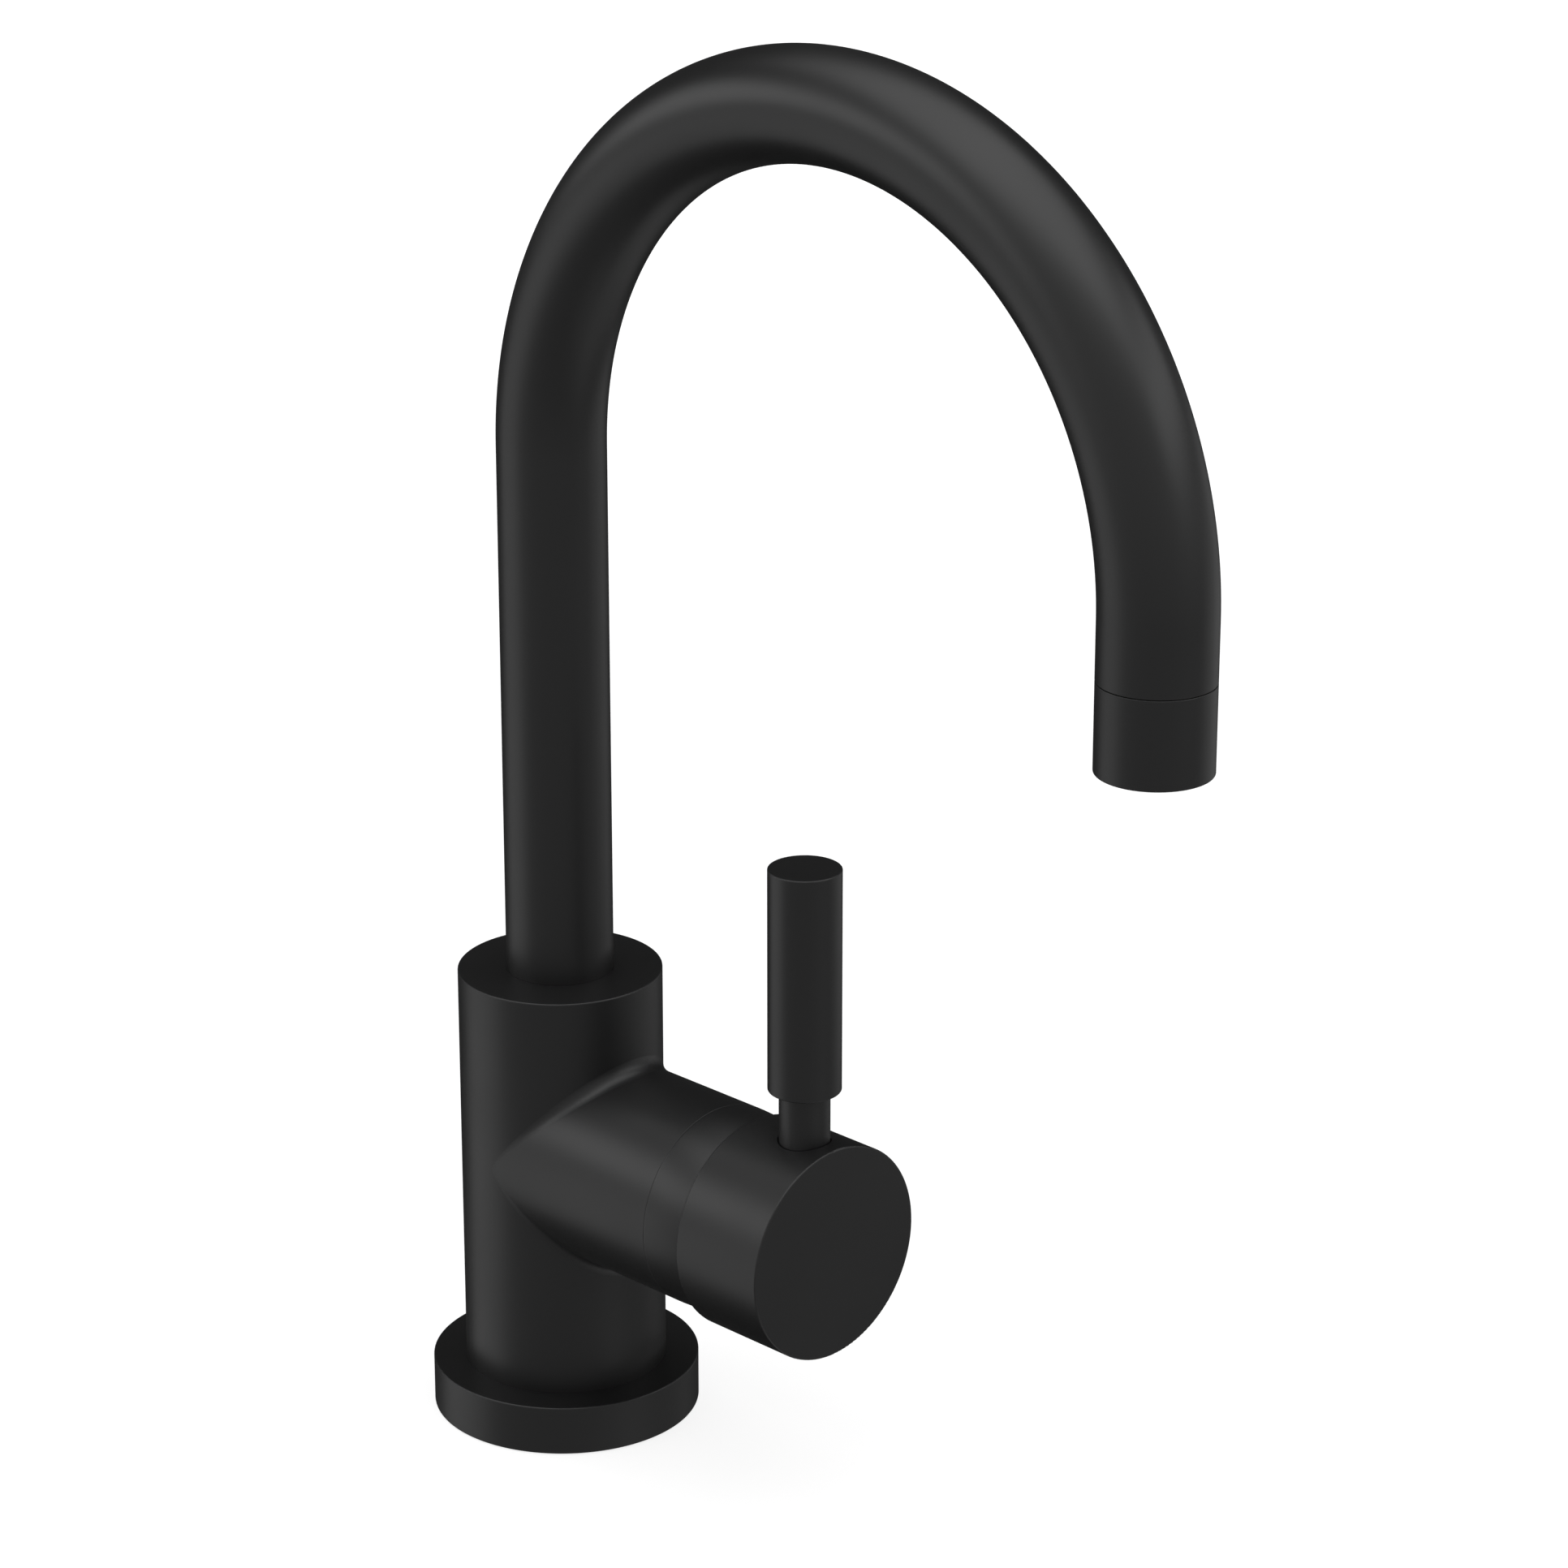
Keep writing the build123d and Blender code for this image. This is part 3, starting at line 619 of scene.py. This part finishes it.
class Section:
    """A half-section that is drawn point by point in the X-Z plane and turned round Z.

    Distances are in millimetres: `along` runs up the turning axis and `radius` away from it.
    """

    def __init__(self, along: float, radius: float, rounding: float = 0.0) -> None:
        """Start the outline.

        Args:
            along: Where it starts on the axis.
            radius: How far from the axis it starts.
            rounding: The radius that this corner is rounded to.
        """
        self.mesh = bmesh.new()
        self.first = self.mesh.verts.new((radius * MM, 0.0, along * MM))
        self.tip = self.first
        self.rims: list[tuple[float, float, float]] = []
        self._note(along, radius, rounding)

    def _note(self, along: float, radius: float, rounding: float) -> None:
        """Keep a corner whose rim is rounded later."""
        if rounding > 0.0:
            self.rims.append((along, radius, rounding))

    def line(self, along: float, radius: float, rounding: float = 0.0) -> Section:
        """Draw a straight side.

        Args:
            along: Where the side ends on the axis.
            radius: How far from the axis it ends.
            rounding: The radius that its end is rounded to.

        Returns:
            The section itself, for the next call.
        """
        made = bmesh.ops.extrude_vert_indiv(self.mesh, verts=[self.tip])
        self.tip = made["verts"][0]
        self.tip.co = Vector((radius * MM, 0.0, along * MM))
        self._note(along, radius, rounding)
        return self

    def arc(self, along: float, radius: float, degrees: float, steps: int) -> Section:
        """Draw an arc, from the tip round a centre.

        Args:
            along: The centre's place on the axis.
            radius: The centre's distance from the axis.
            degrees: How far the tip turns about the centre.
            steps: How many sides make the arc.

        Returns:
            The section itself, for the next call.
        """
        made = bmesh.ops.spin(
            self.mesh,
            geom=[self.tip],
            cent=(radius * MM, 0.0, along * MM),
            axis=(0.0, 1.0, 0.0),
            angle=math.radians(degrees),
            steps=steps,
        )
        self.tip = [item for item in made["geom_last"] if isinstance(item, bmesh.types.BMVert)][0]
        return self

    def close(self) -> Section:
        """Join the last point to the first, for a ring."""
        self.mesh.edges.new((self.tip, self.first))
        return self

    def turn(self, sides: int) -> bmesh.types.BMesh:
        """Turn the outline into a closed solid and round its rims.

        Args:
            sides: How many sides go round the axis.

        Returns:
            The turned mesh, still round Z.
        """
        bmesh.ops.spin(
            self.mesh,
            geom=self.mesh.verts[:] + self.mesh.edges[:],
            cent=(0.0, 0.0, 0.0),
            axis=(0.0, 0.0, 1.0),
            angle=math.tau,
            steps=sides,
            use_merge=True,
        )
        bmesh.ops.remove_doubles(self.mesh, verts=self.mesh.verts[:], dist=MERGE_DISTANCE)
        bmesh.ops.recalc_face_normals(self.mesh, faces=self.mesh.faces[:])
        for along, radius, rounding in self.rims:
            round_rim(self.mesh, ring_edges(self.mesh, along, radius), rounding, RIM_SEGMENTS)
        return self.mesh


def ring_edges(mesh: bmesh.types.BMesh, along: float, radius: float) -> list[bmesh.types.BMEdge]:
    """Find the edges of one turned rim.

    Args:
        mesh: A mesh that was turned round Z.
        along: The rim's place on the axis, in millimetres.
        radius: The rim's radius, in millimetres.

    Returns:
        The edges that lie on the rim.
    """

    def on_rim(vert: bmesh.types.BMVert) -> bool:
        """Whether a vertex lies on the rim."""
        near = abs(math.hypot(vert.co.x, vert.co.y) / MM - radius) < RIM_TOLERANCE
        return near and abs(vert.co.z / MM - along) < RIM_TOLERANCE

    return [edge for edge in mesh.edges if all(on_rim(vert) for vert in edge.verts)]


# Sub-assemblies


@dataclass
class Assembly:
    """What all sub-assemblies share: the finishes and the ways to add and dress pieces."""

    finishes: dict[Slot, bpy.types.Material]

    def add(
        self,
        name: str,
        mesh: bmesh.types.BMesh,
        slot: Slot,
        rider: Rider,
        replaces: str | None = None,
        place: Matrix | None = None,
    ) -> bpy.types.Object:
        """Turn a bmesh into a piece of the object.

        Args:
            name: The piece's name.
            mesh: Its shape, which is freed here.
            slot: The finish that it takes.
            rider: The body that it moves with.
            replaces: The frame's node that it stands for, if any.
            place: The matrix that moves its mesh to its place.

        Returns:
            The new object, at the origin, with its place in its mesh.
        """
        if place is not None:
            bmesh.ops.transform(mesh, matrix=place, verts=mesh.verts[:])
        data = bpy.data.meshes.new(name)
        mesh.to_mesh(data)
        mesh.free()
        data.shade_smooth()
        data.set_sharp_from_angle(angle=SHARP_ANGLE)
        data.materials.append(self.finishes[slot])
        piece = bpy.data.objects.new(name, data)
        bpy.context.scene.collection.objects.link(piece)
        normals = piece.modifiers.new("face_weighted_normals", "WEIGHTED_NORMAL")
        normals.keep_sharp = True
        normals.weight = AREA_WEIGHT
        if replaces is not None:
            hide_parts(replaces)
        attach(piece, rider.value)
        log.info("made %s: %d faces, on %s", name, len(data.polygons), rider.value)
        return piece

    def dress(self, slot: Slot, *nodes: str) -> None:
        """Give nodes of the frame their finish.

        Args:
            slot: The finish.
            nodes: The names of the nodes.
        """
        for node in nodes:
            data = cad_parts[node].data
            data.materials.clear()
            data.materials.append(self.finishes[slot])
            log.info("dressed %s in %s", node, slot.value)


@dataclass
class DeckFoot(Assembly):
    """The flange on the deck and the rubber rings that seal under and inside it."""

    flange_radius: float = 27.85
    flange_height: float = 10.5
    flange_hole: float = 16.7
    edge: float = 0.3
    gasket_outer: float = 25.45
    gasket_inner: float = 19.65
    gasket_gap: float = 0.2
    gasket_thickness: float = 2.5
    gasket_ribs: int = 4
    rib_depth: float = 0.35
    rib_shares: tuple[float, ...] = (0.3, 0.45, 0.8, 0.95)
    flange_sides: int = 160
    gasket_sides: int = 128

    def build(self) -> None:
        """Make the flange and its gasket, and dress the rubber ring."""
        self.flange()
        self.gasket()
        self.dress(Slot.RUBBER, "flange_o_ring")

    def flange(self) -> None:
        """Turn the flange, with the groove of its gasket."""
        section = (
            Section(0.0, self.gasket_outer + self.gasket_gap)
            .line(0.0, self.flange_radius, self.edge)
            .line(self.flange_height, self.flange_radius, self.edge)
            .line(self.flange_height, self.flange_hole)
            .line(0.0, self.flange_hole)
            .line(0.0, self.gasket_inner - self.gasket_gap)
            .line(self.gasket_thickness, self.gasket_inner - self.gasket_gap)
            .line(self.gasket_thickness, self.gasket_outer + self.gasket_gap)
            .close()
        )
        self.add(
            "flange_ring", section.turn(self.flange_sides), Slot.BLACK, Rider.BODY, "base_flange"
        )

    def gasket(self) -> None:
        """Turn the deck gasket, with sealing ribs on its underside."""
        pitch = (self.gasket_outer - self.gasket_inner) / self.gasket_ribs
        section = Section(self.gasket_thickness, self.gasket_inner)
        section.line(0.0, self.gasket_inner)
        groove = (0.0, self.rib_depth, self.rib_depth, 0.0)
        for rib in range(self.gasket_ribs):
            start = self.gasket_inner + rib * pitch
            for depth, share in zip(groove, self.rib_shares):
                section.line(depth, start + share * pitch)
        section.line(0.0, self.gasket_outer)
        section.line(self.gasket_thickness, self.gasket_outer).close()
        self.add(
            "ribbed_gasket", section.turn(self.gasket_sides), Slot.RUBBER, Rider.BODY, "deck_gasket"
        )


@dataclass
class BodyCasting(Assembly):
    """The cast body, the threads in its ports and the screw in its back."""

    port_spread: float = 8.0
    port_setback: float = 5.5
    port_radius: float = 4.5
    port_depth: float = 12.0
    port_pitch: float = 1.0
    stud_setback: float = 10.0
    stud_radius: float = 3.4
    stud_depth: float = 15.0
    stud_pitch: float = 1.25
    lead_in: float = 0.6
    ridge_root: float = 0.02
    ridge_height: float = 0.3
    ridge_rises: tuple[float, ...] = (0.06, 0.42, 0.58, 0.94)
    turn_steps: int = 40

    def build(self) -> None:
        """Dress the casting and its screw, and cut the threads in its ports."""
        self.dress(Slot.BLACK, "body_casting")
        self.dress(Slot.STEEL, "spout_set_screw")
        for side, x in (("hot", self.port_spread), ("cold", -self.port_spread)):
            self.thread(
                f"{side}_port_thread", (x, -self.port_setback), self.port_radius,
                self.port_depth, self.port_pitch,
            )
        self.thread(
            "stud_thread", (0.0, self.stud_setback), self.stud_radius,
            self.stud_depth, self.stud_pitch,
        )

    def thread(
        self,
        name: str,
        centre: tuple[float, float],
        radius: float,
        depth: float,
        pitch: float,
    ) -> None:
        """Run a helical ridge up the wall of a hole in the casting's foot.

        The ridge's height and rises are shares of the pitch.

        Args:
            name: The piece's name.
            centre: The hole's axis, X and Y.
            radius: The hole's radius.
            depth: The hole's depth.
            pitch: The rise of one turn.
        """
        mesh = bmesh.new()
        root, crest = radius + self.ridge_root, self.ridge_height * pitch
        ridge = [
            mesh.verts.new(((root - inset) * MM, 0.0, (self.lead_in + rise * pitch) * MM))
            for inset, rise in zip((0.0, crest, crest, 0.0), self.ridge_rises)
        ]
        sides = [mesh.edges.new(pair) for pair in zip(ridge, ridge[1:])]
        turns = int((depth - 2.0 * self.lead_in) / pitch) - 1
        steps = self.turn_steps * turns
        bmesh.ops.spin(
            mesh,
            geom=ridge + sides,
            cent=(0.0, 0.0, 0.0),
            axis=(0.0, 0.0, 1.0),
            dvec=(0.0, 0.0, pitch * MM * turns / steps),
            angle=math.tau * turns,
            steps=steps,
        )
        bmesh.ops.holes_fill(mesh, edges=mesh.edges[:], sides=len(ridge))
        bmesh.ops.recalc_face_normals(mesh, faces=mesh.faces[:])
        self.add(
            name, mesh, Slot.BRASS, Rider.BODY,
            place=Facing.UP.matrix((centre[0], centre[1], 0.0)),
        )


@dataclass
class CartridgeSet(Assembly):
    """The ceramic cartridge in the boss and the nut that clamps it."""

    def build(self) -> None:
        """Dress the pieces, which the handle and the dome ring hide."""
        self.dress(Slot.RUBBER, "port_seals", "rotor_seal")
        self.dress(Slot.WHITE, "cartridge_base", "cartridge_housing")
        self.dress(Slot.WHITE, "cartridge_rotor", "disc_carrier")
        self.dress(Slot.CERAMIC, "fixed_disc", "moving_disc")
        self.dress(Slot.STEEL, "pivot_pin", "cartridge_stem")
        self.dress(Slot.BRASS, "cartridge_nut")


@dataclass
class DomeCover(Assembly):
    """The domed ring between the boss and the handle."""

    boss_height: float = 59.0
    back: float = 46.33
    radius: float = 20.95
    dome_radius: float = 60.0
    hub_back: float = 56.94
    shoulder_radius: float = 3.5
    wall: float = 1.7
    opening: float = 15.2
    thread_radius: float = 19.0
    seam_edge: float = 0.04
    dome_steps: int = 24
    shoulder_steps: int = 12
    sides: int = 160

    def build(self) -> None:
        """Turn the ring, whose dome runs on inside the handle's hub."""
        sweep = math.degrees(math.asin((self.hub_back - self.back) / self.dome_radius))
        section = Section(self.back, self.radius, self.seam_edge)
        section.arc(self.back, self.radius - self.dome_radius, -sweep, self.dome_steps)
        shoulder = section.tip.co / MM
        lean = math.radians(sweep)
        centre = (
            shoulder.z - self.shoulder_radius * math.sin(lean),
            shoulder.x - self.shoulder_radius * math.cos(lean),
        )
        section.arc(centre[0], centre[1], sweep - 90.0, self.shoulder_steps)
        front = centre[0] + self.shoulder_radius
        inner = front - self.wall
        section.line(front, self.opening)
        section.line(inner, self.opening)
        section.line(inner, centre[1])
        section.line(inner - (self.thread_radius - centre[1]), self.thread_radius)
        section.line(self.back, self.thread_radius)
        section.close()
        self.add(
            "dome_cover", section.turn(self.sides), Slot.BLACK, Rider.BODY, "dome_ring",
            Facing.FRONT.matrix((0.0, 0.0, self.boss_height)),
        )


@dataclass
class Handle(Assembly):
    """The hub on the cartridge's stem, and the lever that stands in it."""

    boss_height: float = 59.0
    lever_reach: float = 70.61
    seat: float = 17.0
    neck_radius: float = 5.1
    neck_top: float = 32.7
    thread_radius: float = 3.95
    lower_thread: float = 6.5
    upper_thread: float = 11.7
    grip_radius: float = 7.32
    grip_length: float = 46.3
    grip_bore: float = 4.0
    grip_bore_depth: float = 12.0
    grip_edge: float = 0.3
    neck_edge: float = 0.1
    chamfer: float = 0.4
    neck_sides: int = 96
    grip_sides: int = 112

    def build(self) -> None:
        """Make the rod and the grip, and dress the hub and its screw."""
        self.dress(Slot.BLACK, "handle_hub")
        self.dress(Slot.STEEL, "hub_grub_screw")
        self.rod()
        self.grip()

    def rod(self) -> None:
        """Turn the rod, with a thinner, chamfered end above and below its neck."""
        section = (
            Section(self.seat - self.lower_thread, 0.0)
            .line(self.seat - self.lower_thread, self.thread_radius - self.chamfer)
            .line(self.seat - self.lower_thread + self.chamfer, self.thread_radius)
            .line(self.seat, self.thread_radius)
            .line(self.seat, self.neck_radius, self.neck_edge)
            .line(self.neck_top, self.neck_radius, self.neck_edge)
            .line(self.neck_top, self.thread_radius)
            .line(self.neck_top + self.upper_thread - self.chamfer, self.thread_radius)
            .line(self.neck_top + self.upper_thread, self.thread_radius - self.chamfer)
            .line(self.neck_top + self.upper_thread, 0.0)
        )
        self.add(
            "lever_neck", section.turn(self.neck_sides), Slot.BLACK, Rider.LEVER, "lever_rod",
            Facing.UP.matrix((0.0, -self.lever_reach, self.boss_height)),
        )

    def grip(self) -> None:
        """Turn the grip, bored from below for the rod."""
        foot, top = self.neck_top, self.neck_top + self.grip_length
        section = (
            Section(foot + self.grip_bore_depth, 0.0)
            .line(foot + self.grip_bore_depth, self.grip_bore)
            .line(foot, self.grip_bore)
            .line(foot, self.grip_radius, self.grip_edge)
            .line(top, self.grip_radius, self.grip_edge)
            .line(top, 0.0)
        )
        self.add(
            "lever_handgrip", section.turn(self.grip_sides), Slot.BLACK, Rider.LEVER,
            "lever_grip", Facing.UP.matrix((0.0, -self.lever_reach, self.boss_height)),
        )


@dataclass
class Spout(Assembly):
    """The bent tube and the spigot that it turns on."""

    radius: float = 11.0
    bore: float = 9.5
    foot: float = 91.5
    bend_height: float = 208.65
    bend_radius: float = 79.04
    mouth: float = 197.21
    mouth_edge: float = 0.15
    mouth_segments: int = 3
    sides: int = 96
    bend_steps: int = 144

    def build(self) -> None:
        """Bend the tube and dress what it turns on."""
        self.tube()
        self.dress(Slot.BRASS, "spout_spigot")
        self.dress(Slot.RUBBER, "spigot_o_rings")
        self.dress(Slot.WHITE, "spigot_bearing_ring", "spout_glide_ring")

    def wall(
        self, mesh: bmesh.types.BMesh, radius: float
    ) -> tuple[list[bmesh.types.BMEdge], list[bmesh.types.BMEdge]]:
        """Draw one wall of the tube from its foot to its mouth.

        Args:
            mesh: The mesh that the wall joins.
            radius: The wall's radius.

        Returns:
            The ring of edges at the foot, and the one at the mouth.
        """
        ring = bmesh.ops.create_circle(
            mesh,
            segments=self.sides,
            radius=radius * MM,
            matrix=Matrix.Translation((0.0, 0.0, self.foot * MM)),
        )
        foot = list(dict.fromkeys(edge for vert in ring["verts"] for edge in vert.link_edges))
        tip = self.run(mesh, foot, (self.bend_height - self.foot) * MM)
        bent = bmesh.ops.spin(
            mesh,
            geom=tip,
            cent=(0.0, -self.bend_radius * MM, self.bend_height * MM),
            axis=(1.0, 0.0, 0.0),
            angle=math.pi,
            steps=self.bend_steps,
        )
        last = [item for item in bent["geom_last"] if isinstance(item, bmesh.types.BMEdge)]
        mouth = self.run(mesh, last, (self.mouth - self.bend_height) * MM)
        return foot, mouth

    def run(
        self, mesh: bmesh.types.BMesh, ring: list[bmesh.types.BMEdge], rise: float
    ) -> list[bmesh.types.BMEdge]:
        """Extrude a ring straight up or down.

        Args:
            mesh: The mesh that holds the ring.
            ring: The ring's edges.
            rise: How far it goes up, in metres.

        Returns:
            The new ring's edges.
        """
        made = bmesh.ops.extrude_edge_only(mesh, edges=ring)["geom"]
        verts = [item for item in made if isinstance(item, bmesh.types.BMVert)]
        bmesh.ops.translate(mesh, verts=verts, vec=(0.0, 0.0, rise))
        return [
            item for item in made
            if isinstance(item, bmesh.types.BMEdge) and set(item.verts) <= set(verts)
        ]

    def tube(self) -> None:
        """Build the tube from an outer and an inner wall, joined at both ends."""
        mesh = bmesh.new()
        outer_foot, outer_mouth = self.wall(mesh, self.radius)
        inner_foot, inner_mouth = self.wall(mesh, self.bore)
        bmesh.ops.bridge_loops(mesh, edges=outer_foot + inner_foot)
        bmesh.ops.bridge_loops(mesh, edges=outer_mouth + inner_mouth)
        bmesh.ops.recalc_face_normals(mesh, faces=mesh.faces[:])
        round_rim(mesh, outer_mouth, self.mouth_edge, self.mouth_segments)
        self.add("bent_tube", mesh, Slot.BLACK, Rider.SPOUT, "spout_tube")


@dataclass
class Outlet(Assembly):
    """The sleeve on the end of the spout, with its insert and aerator."""

    reach: float = 158.08
    radius: float = 11.0
    bore: float = 9.5
    foot: float = 180.05
    top: float = 197.09
    rib_foot: float = 188.05
    rib_width: float = 1.5
    rib_height: float = 1.5
    edge: float = 0.3
    seam_edge: float = 0.15
    sides: int = 112

    def build(self) -> None:
        """Turn the sleeve and dress what it holds."""
        rib = self.bore - self.rib_height
        section = (
            Section(self.foot, self.bore, self.edge)
            .line(self.foot, self.radius, self.edge)
            .line(self.top, self.radius, self.seam_edge)
            .line(self.top, self.bore)
            .line(self.rib_foot + self.rib_width, self.bore)
            .line(self.rib_foot + self.rib_width, rib)
            .line(self.rib_foot, rib)
            .line(self.rib_foot, self.bore)
            .close()
        )
        self.add(
            "end_sleeve", section.turn(self.sides), Slot.BLACK, Rider.SPOUT, "outlet_sleeve",
            Facing.UP.matrix((0.0, -self.reach, 0.0)),
        )
        self.dress(Slot.BRASS, "outlet_insert")
        self.dress(Slot.RUBBER, "aerator_washer")
        self.dress(Slot.DARK, "aerator_body", "aerator_screen")


# Studio


@dataclass(frozen=True)
class Softbox:
    """A rectangular soft light that faces the faucet.

    The azimuth is measured like the view's: 0 stands in front of the spout, on -Y, and 90 on +X.
    """

    name: str
    azimuth: float
    elevation: float
    distance: float
    width: float
    height: float
    radiance: float

    def build(self, target: Vector) -> None:
        """Place the light.

        Args:
            target: The point that it faces.
        """
        turn, lift = math.radians(self.azimuth), math.radians(self.elevation)
        away = Vector(
            (
                math.sin(turn) * math.cos(lift),
                -math.cos(turn) * math.cos(lift),
                math.sin(lift),
            )
        )
        lamp = bpy.data.lights.new(self.name, "AREA")
        lamp.shape = "RECTANGLE"
        lamp.size = self.width
        lamp.size_y = self.height
        lamp.energy = math.pi * self.radiance * self.width * self.height
        light = bpy.data.objects.new(self.name, lamp)
        light.location = target + away * self.distance
        light.rotation_mode = "QUATERNION"
        light.rotation_quaternion = away.to_track_quat("Z", "Y")
        light.visible_camera = False
        bpy.context.scene.collection.objects.link(light)


@dataclass
class Studio:
    """A pale floor, a soft dome, a few softboxes and the camera.

    The floor is plain white past its fade, in metres from the faucet's foot. The dome goes from
    its rear to its front value over turn_fade, and is dimmed below the horizon over low_fade.
    """

    target: Vector = Vector((0.0, -0.06, 0.15))
    floor_size: float = 12.0
    floor_drop: float = 0.0002
    floor_tone: float = 0.3
    floor_near: float = 0.8
    floor_fade: tuple[float, float] = (0.2, 1.0)
    front: tuple[float, float, float] = (-0.7071, -0.7071, 0.0)
    turn_fade: tuple[float, float] = (-0.3, 0.4)
    low_fade: tuple[float, float] = (-0.4, -0.1)
    front_dome: float = 0.535
    rear_dome: float = 0.03
    low_dome: float = 0.55
    lens: float = 113.57
    sensor: float = 36.0
    camera_place: tuple[float, float, float] = (-0.6322, -0.6971, 0.4792)
    camera_turn: tuple[float, float, float] = (70.0, 0.0, -45.0)
    softboxes: tuple[Softbox, ...] = (
        Softbox("overhead", -48.5, 87.0, 1.5, 2.44, 2.04, 1.57),
        Softbox("left_high", -137.0, 20.7, 1.15, 1.3, 0.45, 1.76),
        Softbox("left_low", -144.0, -21.0, 1.2, 1.0, 0.85, 0.74),
        Softbox("right_high", 35.0, 29.0, 1.2, 1.52, 0.42, 1.6),
        Softbox("right_low", 70.5, -11.0, 1.2, 1.19, 0.7, 0.51),
        Softbox("under_right", 52.0, -65.0, 1.2, 1.8, 1.16, 0.38),
    )

    def build(self) -> None:
        """Set up the floor, the light, the camera and the view's colours."""
        self.floor()
        self.world()
        for softbox in self.softboxes:
            softbox.build(self.target)
        self.camera()
        bpy.context.scene.view_settings.view_transform = "Standard"

    def floor(self) -> None:
        """Lay a floor that is white in the picture, keeps a soft shadow and stays out of gloss."""
        mesh = bmesh.new()
        bmesh.ops.create_grid(mesh, x_segments=1, y_segments=1, size=self.floor_size / 2.0)
        bmesh.ops.translate(mesh, verts=mesh.verts[:], vec=(0.0, 0.0, -self.floor_drop))
        data = bpy.data.meshes.new("floor")
        mesh.to_mesh(data)
        mesh.free()
        floor = bpy.data.objects.new("floor", data)
        bpy.context.scene.collection.objects.link(floor)
        material, graph = new_material("pale_floor")
        place = graph.add("ShaderNodeTexCoord")
        distance = graph.add(
            "ShaderNodeVectorMath", {0: place.outputs["Object"]}, operation="LENGTH"
        )
        near = graph.ramp(
            distance.outputs["Value"], self.floor_fade, self.floor_near, smooth=True
        )
        path = graph.add("ShaderNodeLightPath")
        seen = graph.calculate("MULTIPLY", path.outputs["Is Camera Ray"], near)
        pale = graph.add("ShaderNodeBsdfDiffuse", {"Color": (*[self.floor_tone] * 3, 1.0)})
        white = graph.add("ShaderNodeEmission", {"Strength": seen})
        both = graph.add("ShaderNodeAddShader", {0: pale.outputs[0], 1: white.outputs[0]})
        unseen = graph.calculate(
            "MAXIMUM", path.outputs["Is Glossy Ray"], path.outputs["Is Shadow Ray"]
        )
        clear = graph.add("ShaderNodeBsdfTransparent")
        surface = graph.add(
            "ShaderNodeMixShader", {0: unseen, 1: both.outputs[0], 2: clear.outputs[0]}
        )
        graph.add("ShaderNodeOutputMaterial", {"Surface": surface.outputs[0]})
        data.materials.append(material)

    def world(self) -> None:
        """Light the faucet softly from the front, with a white backdrop in the picture."""
        world = bpy.data.worlds.new("studio_dome")
        world.use_nodes = True
        bpy.context.scene.world = world
        graph = Graph(world.node_tree)
        place = graph.add("ShaderNodeTexCoord")
        facing = graph.add(
            "ShaderNodeVectorMath",
            {0: place.outputs["Generated"], 1: self.front},
            operation="DOT_PRODUCT",
        )
        parts = graph.add("ShaderNodeSeparateXYZ", {"Vector": place.outputs["Generated"]})
        dome = graph.calculate(
            "MULTIPLY",
            graph.ramp(
                facing.outputs["Value"], self.turn_fade, self.rear_dome, self.front_dome,
                smooth=True,
            ),
            graph.ramp(parts.outputs["Z"], self.low_fade, self.low_dome, smooth=True),
        )
        path = graph.add("ShaderNodeLightPath")
        strength = graph.ramp(path.outputs["Is Camera Ray"], low=dome)
        sky = graph.add(
            "ShaderNodeBackground", {"Color": (1.0, 1.0, 1.0, 1.0), "Strength": strength}
        )
        graph.add("ShaderNodeOutputWorld", {"Surface": sky.outputs["Background"]})

    def camera(self) -> None:
        """Stand the camera where the photograph was taken."""
        lens = bpy.data.cameras.new("camera")
        lens.lens = self.lens
        lens.sensor_width = self.sensor
        camera = bpy.data.objects.new("camera", lens)
        camera.location = self.camera_place
        camera.rotation_euler = [math.radians(angle) for angle in self.camera_turn]
        bpy.context.scene.collection.objects.link(camera)
        bpy.context.scene.camera = camera


def build_finishes() -> dict[Slot, bpy.types.Material]:
    """Build every finish once.

    Returns:
        The material of each slot.
    """
    chosen: dict[Slot, Finish] = {
        Slot.BLACK: MatteBlackCoat(),
        Slot.BRASS: TurnedMetal("turned_brass", (0.62, 0.45, 0.2), (0.5, 0.34, 0.15)),
        Slot.STEEL: TurnedMetal("turned_steel", (0.56, 0.57, 0.58), (0.42, 0.43, 0.44)),
        Slot.RUBBER: Moulded("black_rubber", (0.012, 0.012, 0.012), (0.02, 0.02, 0.02), 0.7),
        Slot.WHITE: Moulded("white_acetal", (0.8, 0.8, 0.78), (0.74, 0.74, 0.71), 0.4),
        Slot.DARK: Moulded("grey_acetal", (0.05, 0.05, 0.053), (0.04, 0.04, 0.042), 0.4),
        Slot.CERAMIC: Moulded("lapped_ceramic", (0.86, 0.85, 0.82), (0.8, 0.79, 0.76), 0.15),
    }
    return {slot: finish.material() for slot, finish in chosen.items()}


def main() -> None:
    """Build the finishes, the sub-assemblies in order, and the studio."""
    logging.basicConfig(level=logging.INFO, format="%(name)s: %(message)s")
    finishes = build_finishes()
    for kind in (DeckFoot, BodyCasting, CartridgeSet, DomeCover, Handle, Spout, Outlet):
        log.info("building %s", kind.__name__)
        kind(finishes).build()
    Studio().build()


if __name__ == "__main__":
    main()
